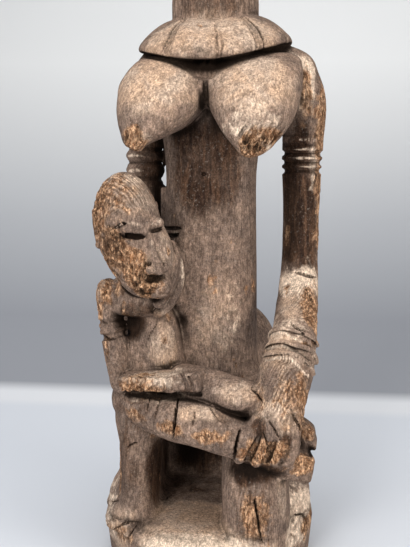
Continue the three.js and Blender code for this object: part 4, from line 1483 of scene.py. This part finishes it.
@dataclass
class Weather:
    """What age has done to the surface: growth rings, fibre, pits and cracks, and the colour masks,
    where painted shade and light lie beside stain, dust and wear.
    """

    pith: tuple[float, float] = (4.0, 6.0)
    ring: float = 1.7
    ring_depth: float = 0.55
    fibre_depth: float = 0.05
    worn_fibre_depth: float = 0.55
    pit_depth: float = 2.2
    chip_depth: float = 1.1
    tool_depth: float = 0.5
    worn_depth: float = 0.3
    faint_rings: float = 0.06
    worn_rings: float = 0.45
    worn_spots: float = 0.6
    crack_sway: float = 0.55
    ring_sway: float = 3.2
    ring_waver: float = 0.5
    ring_lean: float = 0.03

    def masks(self, points: Array) -> dict[str, Array]:
        """Works out how worn, ringed, dark, pale and cream the wood is at each point. Dark holds
        stain and painted shade, pale holds dust and painted light, and cream holds painted
        highlights.
        """
        ragged = Noise(Seed.RAGGED).layered(points, (9, 9, 15), 4)
        worn = cover(WORN, points, 1.2 * ragged)
        spots = smoothstep(0.42, 0.62, Noise(Seed.SPOTS).layered(points, (11, 11, 18), 3))
        worn = np.maximum(worn, self.worn_spots * spots)
        return {
            "worn": worn,
            "dark": cover(DARK, points, ragged),
            "pale": cover(PALE, points, 0.8 * ragged),
            "cream": cover(CREAM, points, ragged),
            "ringed": np.maximum(cover(RINGED, points, ragged), self.worn_rings * worn),
        }

    def fine(self, points: Array) -> Array:
        """Tells where the mesh should keep its smallest shapes, from 0 to 1."""
        return cover(FINE, points, np.zeros(len(points)))

    def ring_place(self, points: Array) -> Array:
        """Counts the growth rings between the pith and each point, with a little sway."""
        sway = self.ring_sway * Noise(Seed.RING_SWAY).layered(points, (46, 46, 70), 2)
        sway = sway + self.ring_waver * Noise(Seed.RING_WAVER).layered(points, (7, 7, 16), 2)
        radius = np.hypot(points[:, 0] - self.pith[0], points[:, 1] - self.pith[1])
        return (radius + sway + self.ring_lean * points[:, 2]) / self.ring

    def rings(self, place: Array) -> Array:
        """Gives the rings at counted places: 1 in the soft wood and 0 on the hard lines."""
        return smoothstep(0.25, 1.0, np.abs(np.sin(math.pi * place)))

    def cracks(self, points: Array, cracks: list[Crack]) -> Array:
        """Gives the depth of the deepest of several cracks at each point, in millimetres, and for
        stripes of painted shade and highlight the strength of the strongest.
        """
        sway = [Noise(Seed.CRACK_SWAY + k).layered(points, 4.5, 2) for k in range(3)]
        sway = self.crack_sway * np.stack(sway, 1)
        depth = np.zeros(len(points))
        for crack in cracks:
            low = np.min(crack.line, axis=0) - crack.room - 3
            high = np.max(crack.line, axis=0) + crack.room + 3
            near = np.flatnonzero(((points > low) & (points < high)).all(1))
            if len(near):
                cut = crack.depth * crack.opening(points[near] + sway[near])
                depth[near] = np.maximum(depth[near], cut)
        return depth

    def depth(self, points: Array) -> Array:
        """Gives how far the weather has cut in at each point, in millimetres."""
        mask = self.masks(points)
        worn, ringed = mask["worn"], mask["ringed"]
        fibre = Noise(Seed.FIBRE).layered(points, (3.2, 3.2, 15), 2)
        tool = Noise(Seed.TOOL).layered(points, (14, 14, 20), 2)
        pits = np.maximum(Noise(Seed.PITS).layered(points, (3.6, 3.6, 7.5), 3) - 0.14, 0.0)
        chips = 1 - np.abs(Noise(Seed.CHIPS).layered(points, (5.2, 5.2, 11), 2))
        chips = smoothstep(0.8, 1.0, chips)
        depth = self.tool_depth * (0.5 + tool)
        depth = depth + (self.fibre_depth + self.worn_fibre_depth * worn) * fibre
        rings = self.rings(0.5 * self.ring_place(points))
        depth = depth + self.ring_depth * (ringed + self.faint_rings) * rings
        depth = depth + self.pit_depth * worn * pits + self.chip_depth * worn * chips
        return depth + self.worn_depth * worn + self.cracks(points, CRACKS_AND_CUT_LINES)


@dataclass
class Carving:
    """The whole statue as one sculpted piece. block_low and block_high are the uncut block's."""

    block_low: Point = (-94.0, -108.0, -50.0)
    block_high: Point = (98.0, 100.0, 596.0)
    plinth: Plinth = field(default_factory=Plinth)
    stool: Stool = field(default_factory=Stool)
    lower: LowerBody = field(default_factory=LowerBody)
    torso: Torso = field(default_factory=Torso)
    collar: Collar = field(default_factory=Collar)
    mother_head: MotherHead = field(default_factory=MotherHead)
    arms: Arms = field(default_factory=Arms)
    child: Child = field(default_factory=Child)
    weather: Weather = field(default_factory=Weather)

    def sculpt(self, pitch: float) -> Block:
        """Carves every form of the statue from a block.

        Args:
            pitch: distance between places of the grid, in millimetres.

        Returns:
            The carved block.
        """
        block = Block(self.block_low, self.block_high, pitch)
        self.stool.carve(block)
        self.stool.hollow(block)
        self.plinth.carve(block)
        self.lower.shins(block)
        self.lower.carve(block)
        self.torso.carve(block)
        self.mother_head.carve(block)
        self.collar.carve(block)
        self.arms.carve_right(block)
        self.child.carve(block)
        self.arms.carve_left(block)
        self.torso.marks(block)
        LOG.info("block carved, %d places", block.field.size)
        return block

    def build(self, low: Vector, high: Vector) -> bpy.types.Object:
        """Makes the statue's mesh in the frame's box.

        Args:
            low: lowest corner of the solid that the mesh stands for, in metres.
            high: highest corner.

        Returns:
            The finished object, with the masks that its material reads.
        """
        block = self.sculpt(FINE_PITCH)
        points, quads = block.surface()
        out = block.outward(points)
        points = points - out * self.weather.depth(points)[:, None]
        scale = (high.z - low.z) / (DRAWN_TOP + PLINTH_HEIGHT)
        lift = np.array([0.0, 0.0, PLINTH_HEIGHT])
        margin = BOX_MARGIN / PER_METRE
        placed = np.clip((points + lift) * scale, np.array(low) + margin, np.array(high) - margin)
        placed[:, 2] = np.maximum(placed[:, 2], low.z)
        placed[points[:, 2] < -PLINTH_HEIGHT + FLAT_BAND, 2] = low.z
        mesh = bpy.data.meshes.new(PIECE)
        mesh.from_pydata(placed.tolist(), [], quads.tolist())
        piece = bpy.data.objects.new(PIECE, mesh)
        bpy.context.scene.collection.objects.link(piece)
        self.lighten(piece, self.weather.fine(points))
        self.paint(piece, block, scale)
        for polygon in piece.data.polygons:
            polygon.use_smooth = True
        return piece

    def lighten(self, piece: bpy.types.Object, fine: Array) -> None:
        """Brings the mesh under its limit of triangles, keeping the most where it bends most.

        Args:
            piece: the statue.
            fine: how much the small shapes matter at each of its points, from 0 to 1.
        """
        triangles = 2 * len(piece.data.polygons)
        thin = piece.modifiers.new("thin", "DECIMATE")
        thin.ratio = min(1.0, MOST_TRIANGLES / triangles)
        thin.use_collapse_triangulate = True
        group = piece.vertex_groups.new(name="coarse")
        weights = np.round(1 - 0.5 * fine, 1)
        for weight in np.unique(weights):
            group.add(np.flatnonzero(weights == weight).tolist(), float(weight), "REPLACE")
        thin.vertex_group = group.name
        thin.vertex_group_factor = FINE_COST
        view = bpy.context.evaluated_depsgraph_get()
        mesh = bpy.data.meshes.new_from_object(piece.evaluated_get(view))
        piece.modifiers.clear()
        piece.vertex_groups.clear()
        old = piece.data
        piece.data = mesh
        bpy.data.meshes.remove(old)
        mesh.name = PIECE
        LOG.info("%s: %d triangles from %d", PIECE, len(mesh.polygons), triangles)

    def paint(self, piece: bpy.types.Object, block: Block, scale: float) -> None:
        """Writes the masks that the material reads onto the mesh's points.

        Args:
            piece: the statue.
            block: the carved block, before weathering.
            scale: metres to a drawn millimetre.
        """
        mesh = piece.data
        placed = np.zeros(len(mesh.vertices) * 3)
        mesh.vertices.foreach_get("co", placed)
        points = placed.reshape(-1, 3) / scale - np.array([0.0, 0.0, PLINTH_HEIGHT])
        out = block.outward(points)
        masks = self.weather.masks(points)
        # The cracks are coloured dark, and the carved slits and lines get painted shade.
        masks["cracks_and_cut_shade"] = smoothstep(0.4, 1.5, self.weather.cracks(points, CRACKS_AND_CUT_LINES))
        # SHADED stripes and DEEP patches are painted shade.
        shaded = np.clip(self.weather.cracks(points, SHADED), 0.0, 1.0)
        # RIDGES are painted highlights, laid onto the cream mask.
        ridges = np.clip(self.weather.cracks(points, RIDGES), 0.0, 1.0)
        masks["cream"] = np.maximum(masks["cream"], ridges)
        masks["shaded"] = np.maximum(shaded, cover(DEEP, points, np.zeros(len(points))))
        # sunk marks where weathering cut below the carved surface, which gets painted shade.
        sunk = -block.sample(points) - self.weather.tool_depth * 0.5
        masks["sunk"] = smoothstep(0.35, 1.9, sunk)
        masks["ring_place"] = self.weather.ring_place(points)
        # hidden finds hollows and corners, which get painted shade; edge finds convex edges, which
        # get lighter as worn edges with a painted highlight.
        for name, reaches, way, most in (("hidden", HIDDEN_REACH, 1, 1.5),
                                         ("edge", EDGE_REACH, -1, 1.0)):
            total = np.zeros(len(points))
            for far in reaches:
                near = 1 - way * block.sample(points + way * out * far) / far
                total += np.clip(near, 0.0, most) / len(reaches)
            masks[name] = np.clip(total, 0.0, 1.0)
        for name, values in masks.items():
            layer = mesh.attributes.new(name, "FLOAT", "POINT")
            layer.data.foreach_set("value", np.ascontiguousarray(values, np.float32))


Colour = tuple[float, float, float]


class Nodes:
    """Adds nodes to a material or a node group."""

    def __init__(self, tree: bpy.types.NodeTree) -> None:
        """Keeps the tree that nodes are added to."""
        self.tree = tree

    def add(self, kind: str, **values: object) -> Node:
        """Adds a node and sets its own properties."""
        node = self.tree.nodes.new(kind)
        for name, value in values.items():
            setattr(node, name, value)
        return node

    def feed(self, socket: Socket, value: object) -> None:
        """Sets a socket to a value, or links it to another socket."""
        if isinstance(value, Socket):
            self.tree.links.new(value, socket)
        elif isinstance(value, tuple) and len(value) == 3 and socket.type == "RGBA":
            socket.default_value = (*value, 1.0)
        else:
            socket.default_value = value

    def maths(self, operation: str, first: object, second: object = 0.0) -> Socket:
        """Adds one step of arithmetic."""
        node = self.add("ShaderNodeMath", operation=operation)
        self.feed(node.inputs[0], first)
        self.feed(node.inputs[1], second)
        return node.outputs[0]

    def times(self, first: object, second: object) -> Socket:
        """Multiplies two values."""
        return self.maths("MULTIPLY", first, second)

    def spread(self, value: object, low: float, high: float, start: float = 0.0,
               stop: float = 1.0) -> Socket:
        """Maps a value from low..high to start..stop, smoothly and within those ends."""
        node = self.add("ShaderNodeMapRange", interpolation_type="SMOOTHSTEP")
        for k, number in enumerate((value, low, high, start, stop)):
            self.feed(node.inputs[k], number)
        return node.outputs[0]

    def mix(self, share: object, first: object, second: object,
            blend: str = "MIX") -> Socket:
        """Mixes two colours by a share of the second."""
        node = self.add("ShaderNodeMix", data_type="RGBA", blend_type=blend)
        self.feed(node.inputs["Factor"], share)
        self.feed(node.inputs[6], first)
        self.feed(node.inputs[7], second)
        return node.outputs[2]

    def noise(self, place: Socket, scale: object, detail: float, rough: float,
              warp: float) -> Socket:
        """Adds a noise texture and gives its value."""
        node = self.add("ShaderNodeTexNoise")
        self.feed(node.inputs["Vector"], place)
        self.feed(node.inputs["Scale"], scale)
        for name, value in (("Detail", detail), ("Roughness", rough), ("Distortion", warp)):
            node.inputs[name].default_value = value
        return node.outputs["Fac"]

    def stretched(self, place: Socket, scale: Point) -> Socket:
        """Scales places by a factor along each axis."""
        node = self.add("ShaderNodeMapping")
        self.feed(node.inputs["Vector"], place)
        node.inputs["Scale"].default_value = scale
        return node.outputs[0]

    def mask(self, name: str) -> Socket:
        """Reads one of the masks on the mesh's points."""
        return self.add("ShaderNodeAttribute", attribute_name=name).outputs["Fac"]


class Effect(ABC):
    """A shared surface effect: a node group that is built once and placed in materials."""

    name: str
    sockets_in: list[tuple[str, str, object]]
    sockets_out: list[tuple[str, str]]

    @abstractmethod
    def wire(self, nodes: Nodes, inputs: Node, outputs: Node) -> None:
        """Adds the nodes between the group's inputs and outputs."""

    def group(self) -> bpy.types.NodeTree:
        """Gives the node group, building it the first time."""
        if self.name in bpy.data.node_groups:
            return bpy.data.node_groups[self.name]
        tree = bpy.data.node_groups.new(self.name, "ShaderNodeTree")
        for label, kind, value in self.sockets_in:
            socket = tree.interface.new_socket(label, in_out="INPUT", socket_type=kind)
            if value is not None:
                socket.default_value = value
        for label, kind in self.sockets_out:
            tree.interface.new_socket(label, in_out="OUTPUT", socket_type=kind)
        nodes = Nodes(tree)
        self.wire(nodes, nodes.add("NodeGroupInput"), nodes.add("NodeGroupOutput"))
        return tree

    def place(self, nodes: Nodes, **values: object) -> Node:
        """Adds the group to a material, with its own values."""
        node = nodes.add("ShaderNodeGroup", node_tree=self.group())
        for label, value in values.items():
            nodes.feed(node.inputs[label.replace("_", " ").capitalize()], value)
        return node


class Fibre(Effect):
    """Fine lines along the log, with a little waviness."""

    name = "wood_fibre"
    sockets_in = [("Place", "NodeSocketVector", None), ("Fineness", "NodeSocketFloat", 1.0)]
    sockets_out = [("Lines", "NodeSocketFloat"), ("Streaks", "NodeSocketFloat")]

    def wire(self, nodes: Nodes, inputs: Node, outputs: Node) -> None:
        """Adds the nodes between the group's inputs and outputs."""
        long_place = nodes.stretched(inputs.outputs["Place"], (1.0, 1.0, 0.12))
        lines = nodes.noise(long_place, inputs.outputs["Fineness"], 4.0, 0.62, 0.3)
        nodes.feed(outputs.inputs["Lines"], nodes.spread(lines, 0.34, 0.66))
        broad_scale = nodes.times(inputs.outputs["Fineness"], 0.2)
        streaks = nodes.noise(long_place, broad_scale, 3.0, 0.5, 0.8)
        nodes.feed(outputs.inputs["Streaks"], nodes.spread(streaks, 0.36, 0.66))


class Mottle(Effect):
    """Cloudy stains of two sizes, small pale flecks and fine specks."""

    name = "stain_mottle"
    sockets_in = [("Place", "NodeSocketVector", None), ("Size", "NodeSocketFloat", 1.0)]
    sockets_out = [("Clouds", "NodeSocketFloat"), ("Spots", "NodeSocketFloat"),
                   ("Flecks", "NodeSocketFloat"), ("Specks", "NodeSocketFloat")]

    def wire(self, nodes: Nodes, inputs: Node, outputs: Node) -> None:
        """Adds the nodes between the group's inputs and outputs."""
        place, size = inputs.outputs["Place"], inputs.outputs["Size"]
        for label, scale, detail, rough, warp, low, high in (
            ("Clouds", 0.035, 4.0, 0.6, 0.6, 0.36, 0.64),
            ("Spots", 0.14, 4.0, 0.65, 0.4, 0.4, 0.66),
            ("Flecks", 0.55, 3.0, 0.7, 0.2, 0.58, 0.7),
            ("Specks", 0.8, 2.0, 0.75, 0.0, 0.32, 0.68),
        ):
            noise = nodes.noise(place, nodes.times(size, scale), detail, rough, warp)
            nodes.feed(outputs.inputs[label], nodes.spread(noise, low, high))


class RingLines(Effect):
    """Thin eroded lines between the growth rings."""

    name = "ring_lines"
    sockets_in = [("Count", "NodeSocketFloat", 0.0), ("Strength", "NodeSocketFloat", 1.0)]
    sockets_out = [("Grooves", "NodeSocketFloat")]

    def wire(self, nodes: Nodes, inputs: Node, outputs: Node) -> None:
        """Adds the nodes between the group's inputs and outputs."""
        wave = nodes.maths("SINE", nodes.times(inputs.outputs["Count"], math.pi))
        groove = nodes.spread(nodes.maths("ABSOLUTE", wave), 0.5, 0.95)
        groove = nodes.times(groove, inputs.outputs["Strength"])
        nodes.feed(outputs.inputs["Grooves"], groove)


class Chips(Effect):
    """Small chips of worn wood with dark crevices between them."""

    name = "worn_chips"
    sockets_in = [("Place", "NodeSocketVector", None), ("Size", "NodeSocketFloat", 1.0)]
    sockets_out = [("Crevices", "NodeSocketFloat"), ("Chips", "NodeSocketFloat")]

    def wire(self, nodes: Nodes, inputs: Node, outputs: Node) -> None:
        """Adds the nodes between the group's inputs and outputs."""
        long_place = nodes.stretched(inputs.outputs["Place"], (1.0, 1.0, 0.5))
        size = inputs.outputs["Size"]
        folds = nodes.noise(long_place, nodes.times(size, 0.24), 3.0, 0.62, 0.9)
        away = nodes.maths("ABSOLUTE", nodes.maths("SUBTRACT", folds, 0.5))
        nodes.feed(outputs.inputs["Crevices"], nodes.spread(away, 0.004, 0.05, 1.0, 0.0))
        chips = nodes.noise(long_place, nodes.times(size, 0.42), 3.0, 0.68, 0.3)
        nodes.feed(outputs.inputs["Chips"], nodes.spread(chips, 0.36, 0.64))


# How much the edges of the masks are broken up.
RAGGED_EDGE = {"pale": 0.35, "dark": 0.2, "cream": 0.4, "worn": 0.5}


@dataclass(frozen=True)
class OldWood:
    """Dry, weathered wood: grey-brown skin, pale places that are partly dust and partly painted
    light, orange worn places, cream painted highlights, and near-black painted shade in the
    hollows, slits and undercuts.

    The fields from stain_spots to hollows are shares, by which one colour covers another.
    """

    skin: Colour = (0.175, 0.124, 0.097)
    skin_warm: Colour = (0.310, 0.212, 0.157)
    stain: Colour = (0.095, 0.065, 0.052)
    # pale colours the pale places, which are partly dust and partly painted light, and the painted
    # highlight on edges.
    pale: Colour = (0.500, 0.375, 0.285)
    pale_warm: Colour = (0.510, 0.345, 0.235)
    # cream colours the painted highlights.
    cream: Colour = (0.720, 0.560, 0.430)
    worn: Colour = (0.400, 0.180, 0.080)
    worn_light: Colour = (0.760, 0.460, 0.265)
    # dark colours the dark places, which are partly stain and partly painted shade; dark_warm also
    # darkens crevices, ring grooves and sunken places.
    dark: Colour = (0.030, 0.017, 0.012)
    dark_warm: Colour = (0.085, 0.046, 0.028)
    # deep is near black, for painted shade in hollows, undercuts, slits and cracks.
    deep: Colour = (0.010, 0.006, 0.004)
    dust: Colour = (0.520, 0.450, 0.385)
    stain_spots: float = 0.5
    stain_streaks: float = 0.32
    pale_spots: float = 0.4
    worn_spots: float = 0.3
    worn_crevices: float = 0.62
    crevices: float = 0.16
    grooves: float = 0.72
    # sunk is how much painted shade darkens the sunken places.
    sunk: float = 0.6
    flecks: float = 0.22
    # edges is how much wear and a painted highlight lighten the edges, and hollows how much painted
    # shade darkens the hidden places.
    edges: float = 0.55
    hollows: float = 0.92
    roughness: float = 0.82
    worn_rough: float = 0.12
    spots_rough: float = 0.06
    dark_smooth: float = 0.16
    specular: float = 0.04
    bump: float = 0.8
    bump_depth: float = 0.001
    speck_height: float = 0.6
    line_height: float = 0.4
    chip_height: float = 0.8
    groove_depth: float = 0.9

    def material(self) -> bpy.types.Material:
        """Builds the wood's material."""
        made = bpy.data.materials.new("old_wood")
        made.use_nodes = True
        nodes = Nodes(made.node_tree)
        shader = made.node_tree.nodes["Principled BSDF"]
        shader.inputs["Specular IOR Level"].default_value = self.specular
        metres = nodes.add("ShaderNodeTexCoord").outputs["Object"]
        place = nodes.stretched(metres, (PER_METRE, PER_METRE, PER_METRE))
        fibre = Fibre().place(nodes, place=place, fineness=1.1)
        mottle = Mottle().place(nodes, place=place, size=1.0)
        lines = RingLines().place(nodes, count=nodes.mask("ring_place"),
                                  strength=nodes.mask("ringed"))
        chips = Chips().place(nodes, place=place, size=1.0)
        groove = lines.outputs["Grooves"]
        nodes.feed(shader.inputs["Base Color"], self.tones(nodes, fibre, mottle, chips, groove))
        self.gloss(nodes, shader, mottle)
        self.relief(nodes, shader, fibre, mottle, chips, groove)
        return made

    def tones(self, nodes: Nodes, fibre: Node, mottle: Node,
              chips: Node, groove: Socket) -> Socket:
        """Mixes the wood's colours by its masks.

        Args:
            nodes: the material's nodes.
            fibre: the placed fibre effect.
            mottle: the placed stain effect.
            chips: the placed effect of worn chips.
            groove: the eroded lines between the rings.

        Returns:
            The surface colour.
        """
        lines, streaks = fibre.outputs["Lines"], fibre.outputs["Streaks"]
        clouds, spots, flecks, specks = (
            mottle.outputs[k] for k in ("Clouds", "Spots", "Flecks", "Specks")
        )
        skin = nodes.mix(clouds, self.skin, self.skin_warm)
        skin = nodes.mix(nodes.times(spots, self.stain_spots), skin, self.stain)
        skin = nodes.mix(nodes.times(streaks, self.stain_streaks), skin, self.stain)
        # The pale places: pale dust, and painted light on the lit tops, fronts and rims.
        pale = nodes.mix(clouds, self.pale, self.pale_warm)
        pale = nodes.mix(nodes.times(spots, self.pale_spots), pale, self.skin)
        skin = nodes.mix(self.soften(nodes, "pale", spots), skin, pale)
        # The dark places: dark stain, and painted shade in hollows and under overhangs.
        dark = nodes.mix(streaks, self.dark, self.dark_warm)
        skin = nodes.mix(self.soften(nodes, "dark", clouds), skin, dark)
        # Painted highlights on the lit raised places, ridges and rims.
        skin = nodes.mix(self.soften(nodes, "cream", spots), skin, self.cream)
        # Convex edges get lighter: worn edges, with a painted highlight.
        edge = nodes.spread(nodes.mask("edge"), 0.42, 0.8, 0.0, self.edges)
        skin = nodes.mix(edge, skin, self.pale)
        chip = chips.outputs["Chips"]
        worn = nodes.mix(chip, self.worn, self.worn_light)
        worn = nodes.mix(nodes.times(spots, self.worn_spots), worn, self.skin)
        bare = self.soften(nodes, "worn", spots)
        skin = nodes.mix(bare, skin, worn)
        crevice = nodes.maths("ADD", nodes.times(bare, self.worn_crevices), self.crevices)
        crevice = nodes.times(crevice, chips.outputs["Crevices"])
        skin = nodes.mix(crevice, skin, self.dark_warm)
        skin = nodes.mix(nodes.times(groove, self.grooves), skin, self.dark_warm)
        # Painted shade in the pits, cracks and tool marks that weathering sank.
        skin = nodes.mix(nodes.times(nodes.mask("sunk"), self.sunk), skin, self.dark_warm)
        for value, darkest, lightest in ((lines, 0.8, 1.16), (chip, 0.76, 1.22),
                                         (specks, 0.77, 1.24)):
            shade = self.grey(nodes, nodes.spread(value, 0.0, 1.0, darkest, lightest))
            skin = nodes.mix(1.0, skin, shade, "MULTIPLY")
        skin = nodes.mix(nodes.times(flecks, self.flecks), skin, self.dust)
        # Hidden hollows and corners get painted shade, almost black.
        hollow = nodes.spread(nodes.mask("hidden"), 0.28, 0.8, 0.0, self.hollows)
        skin = nodes.mix(hollow, skin, self.deep)
        # Painted shade in the undercuts, slits, flutes and bands.
        skin = nodes.mix(nodes.mask("shaded"), skin, self.deep)
        # Dark cracks, and painted shade in the carved slits and lines.
        return nodes.mix(nodes.mask("cracks_and_cut_shade"), skin, self.deep)

    def grey(self, nodes: Nodes, value: Socket) -> Socket:
        """Turns a value into a grey colour."""
        node = nodes.add("ShaderNodeCombineColor")
        for socket in node.inputs:
            nodes.feed(socket, value)
        return node.outputs[0]

    def soften(self, nodes: Nodes, name: str, by: Socket) -> Socket:
        """Reads a mask and breaks its edge up by a second value."""
        rough = nodes.times(nodes.maths("SUBTRACT", by, 0.5), RAGGED_EDGE[name])
        moved = nodes.maths("ADD", nodes.mask(name), rough)
        return nodes.spread(moved, 0.15, 0.85)

    def gloss(self, nodes: Nodes, shader: Node, mottle: Node) -> None:
        """Makes the wood under the dark mask a little smoother, and worn and spotted wood a little
        rougher.
        """
        most = self.roughness + self.worn_rough
        rough = nodes.spread(nodes.mask("worn"), 0.0, 1.0, self.roughness, most)
        lift = nodes.times(mottle.outputs["Spots"], self.spots_rough)
        smooth = nodes.times(nodes.mask("dark"), self.dark_smooth)
        rough = nodes.maths("SUBTRACT", nodes.maths("ADD", rough, lift), smooth)
        nodes.feed(shader.inputs["Roughness"], rough)

    def relief(self, nodes: Nodes, shader: Node, fibre: Node,
               mottle: Node, chips: Node,
               groove: Socket) -> None:
        """Adds the finest grain, chips and grit, too small for the mesh."""
        worn = nodes.spread(nodes.mask("worn"), 0.0, 1.0, 0.3, 1.0)
        grit = nodes.times(mottle.outputs["Specks"], self.speck_height)
        lines = nodes.times(fibre.outputs["Lines"], self.line_height)
        grit = nodes.maths("ADD", grit, lines)
        chipped = nodes.times(chips.outputs["Chips"], self.chip_height)
        grit = nodes.maths("ADD", grit, chipped)
        grit = nodes.maths("SUBTRACT", grit, chips.outputs["Crevices"])
        height = nodes.times(grit, worn)
        height = nodes.maths("SUBTRACT", height, nodes.times(groove, self.groove_depth))
        bump = nodes.add("ShaderNodeBump")
        bump.inputs["Strength"].default_value = self.bump
        bump.inputs["Distance"].default_value = self.bump_depth
        nodes.feed(bump.inputs["Height"], height)
        nodes.feed(shader.inputs["Normal"], bump.outputs["Normal"])


@dataclass(frozen=True)
class PaleCard:
    """Pale grey card for the floor and the sweep behind it, greyer where the sweep starts and
    lighter up the sweep: the gradient is painted shade and light.

    start is where the sweep starts, and before and reach are how far the gradient goes from
    there, forwards and up the sweep, in metres.
    """

    start: float = 0.42
    before: float = 0.2
    reach: float = 2.2
    front: Colour = (0.62, 0.645, 0.69)
    band: Colour = (0.70, 0.71, 0.735)
    low: Colour = (0.297, 0.306, 0.333)
    middle: Colour = (0.47, 0.48, 0.50)
    top: Colour = (0.85, 0.85, 0.84)
    roughness: float = 0.8
    specular: float = 0.1

    def material(self) -> bpy.types.Material:
        """Builds the card's material."""
        made = bpy.data.materials.new("pale_card")
        made.use_nodes = True
        nodes = Nodes(made.node_tree)
        shader = made.node_tree.nodes["Principled BSDF"]
        shader.inputs["Roughness"].default_value = self.roughness
        shader.inputs["Specular IOR Level"].default_value = self.specular
        apart = nodes.add("ShaderNodeSeparateXYZ")
        nodes.feed(apart.inputs[0], nodes.add("ShaderNodeTexCoord").outputs["Object"])
        along = nodes.maths("ADD", apart.outputs[1], apart.outputs[2])
        share = nodes.add("ShaderNodeMapRange")
        begin, end = self.start - self.before, self.start + self.reach
        for k, number in enumerate((along, begin, end, 0.0, 1.0)):
            nodes.feed(share.inputs[k], number)
        ramp = nodes.add("ShaderNodeValToRGB")
        # Painted shade where the sweep starts, and painted light growing up the sweep.
        stops = [(-self.before, self.front), (-0.07, self.front), (-0.04, self.band),
                 (0.0, self.band), (0.043, self.low), (0.389, self.low), (0.936, self.middle),
                 (1.819, self.top)]
        points = ramp.color_ramp.elements
        while len(points) < len(stops):
            points.new(0.5)
        for point, (at, colour) in zip(points, stops):
            point.position = (at + self.before) / (self.reach + self.before)
            point.color = (*colour, 1.0)
        nodes.feed(ramp.inputs[0], share.outputs[0])
        nodes.feed(shader.inputs["Base Color"], ramp.outputs[0])
        return made


@dataclass(frozen=True)
class Lamp:
    """A soft rectangular light, in metres and watts."""

    name: str
    place: Point
    power: float
    size: tuple[float, float]
    target: Point = (0.0, 0.0, 0.25)
    colour: Colour = (1.0, 1.0, 1.0)

    def build(self) -> None:
        """Makes the light and points it at its target."""
        light = bpy.data.lights.new(self.name, "AREA")
        light.shape = "RECTANGLE"
        light.size, light.size_y = self.size
        light.energy = self.power
        light.color = self.colour
        made = bpy.data.objects.new(self.name, light)
        made.location = self.place
        aim = Vector(self.target) - Vector(self.place)
        made.rotation_euler = aim.to_track_quat("-Z", "Y").to_euler()
        bpy.context.scene.collection.objects.link(made)


LAMPS = [
    Lamp("key", (-0.40, -1.24, 0.74), 12.6, (0.45, 0.45), colour=(1.0, 0.98, 0.95)),
    Lamp("overhead", (0.10, -0.35, 1.45), 11.6, (1.1, 0.8), colour=(1.0, 0.985, 0.96)),
    Lamp("sweep_light", (0.0, 0.55, 1.6), 9.0, (1.8, 0.3), (0.0, 1.9, 0.6)),
    Lamp("left_side", (-1.2, -0.3, 0.6), 2.5, (0.6, 1.0)),
    Lamp("right_side", (1.05, -0.75, 0.42), 8.5, (0.6, 0.8), colour=(1.0, 0.94, 0.86)),
    Lamp("low_front", (0.3, -1.25, 0.14), 2.0, (0.5, 0.2), (0.0, 0.0, 0.08), (1.0, 0.96, 0.9)),
]


@dataclass
class Studio:
    """The pale floor with its sweep, and the soft lights."""

    floor_front: float = -1.6
    sweep_start: float = 0.42
    sweep_radius: float = 1.6
    half_width: float = 2.4
    wall_top: float = 2.4
    sweep_steps: int = 24
    air: Colour = (0.80, 0.86, 0.95)
    air_strength: float = 0.32
    card: PaleCard = field(default_factory=PaleCard)

    def floor(self) -> None:
        """Makes the floor and the wall behind it as one curved sheet."""
        profile = [(self.floor_front, 0.0)]
        for k in range(self.sweep_steps + 1):
            angle = math.pi / 2 * k / self.sweep_steps
            profile.append((self.sweep_start + self.sweep_radius * math.sin(angle),
                            self.sweep_radius * (1 - math.cos(angle))))
        profile.append((self.sweep_start + self.sweep_radius, self.wall_top))
        points, faces = [], []
        for y, z in profile:
            points += [(-self.half_width, y, z), (self.half_width, y, z)]
        for k in range(len(profile) - 1):
            faces.append((2 * k, 2 * k + 1, 2 * k + 3, 2 * k + 2))
        mesh = bpy.data.meshes.new("sweep")
        mesh.from_pydata(points, [], faces)
        for polygon in mesh.polygons:
            polygon.use_smooth = True
        sweep = bpy.data.objects.new("sweep", mesh)
        sweep.data.materials.append(self.card.material())
        bpy.context.scene.collection.objects.link(sweep)

    def lights(self) -> None:
        """Adds the lights and the even light from all round."""
        for lamp in LAMPS:
            lamp.build()
        world = bpy.data.worlds.new("studio_air")
        bpy.context.scene.world = world
        world.use_nodes = True
        back = world.node_tree.nodes["Background"]
        back.inputs["Color"].default_value = (*self.air, 1.0)
        back.inputs["Strength"].default_value = self.air_strength

    def build(self) -> None:
        """Makes the floor and the lights."""
        self.floor()
        self.lights()


@dataclass(frozen=True)
class PhotoCamera:
    """The camera at the photograph's viewing angle. The photograph is 410 wide and 547 high."""

    distance: float = 0.657
    azimuth: float = 6.0
    height: float = 0.320
    aim_azimuth: float = 6.35
    aim_down: float = 8.0
    lens: float = 54.0
    sensor: float = 36.0

    def build(self) -> None:
        """Makes the camera and sets it as the scene's own."""
        data = bpy.data.cameras.new("camera")
        data.lens = self.lens
        data.sensor_width = self.sensor
        camera = bpy.data.objects.new("camera", data)
        side = math.radians(self.azimuth)
        camera.location = (self.distance * math.sin(side), -self.distance * math.cos(side),
                           self.height)
        aim, down = math.radians(self.aim_azimuth), math.radians(self.aim_down)
        ahead = Vector((-math.sin(aim) * math.cos(down), math.cos(aim) * math.cos(down),
                        -math.sin(down)))
        camera.rotation_euler = ahead.to_track_quat("-Z", "Y").to_euler()
        bpy.context.scene.collection.objects.link(camera)
        bpy.context.scene.camera = camera


def main() -> None:
    """Builds the camera, the studio and the statue."""
    logging.basicConfig(level=logging.INFO, format="%(name)s: %(message)s")
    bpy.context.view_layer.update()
    PhotoCamera().build()
    Studio().build()
    bpy.context.scene.view_settings.view_transform = "Standard"
    low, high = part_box(NODE)
    piece = Carving().build(low, high)
    piece.data.materials.append(OldWood().material())
    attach(piece, "root")
    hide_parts(NODE)
    LOG.info("%s stands for %s", PIECE, NODE)


if __name__ == "__main__":
    main()
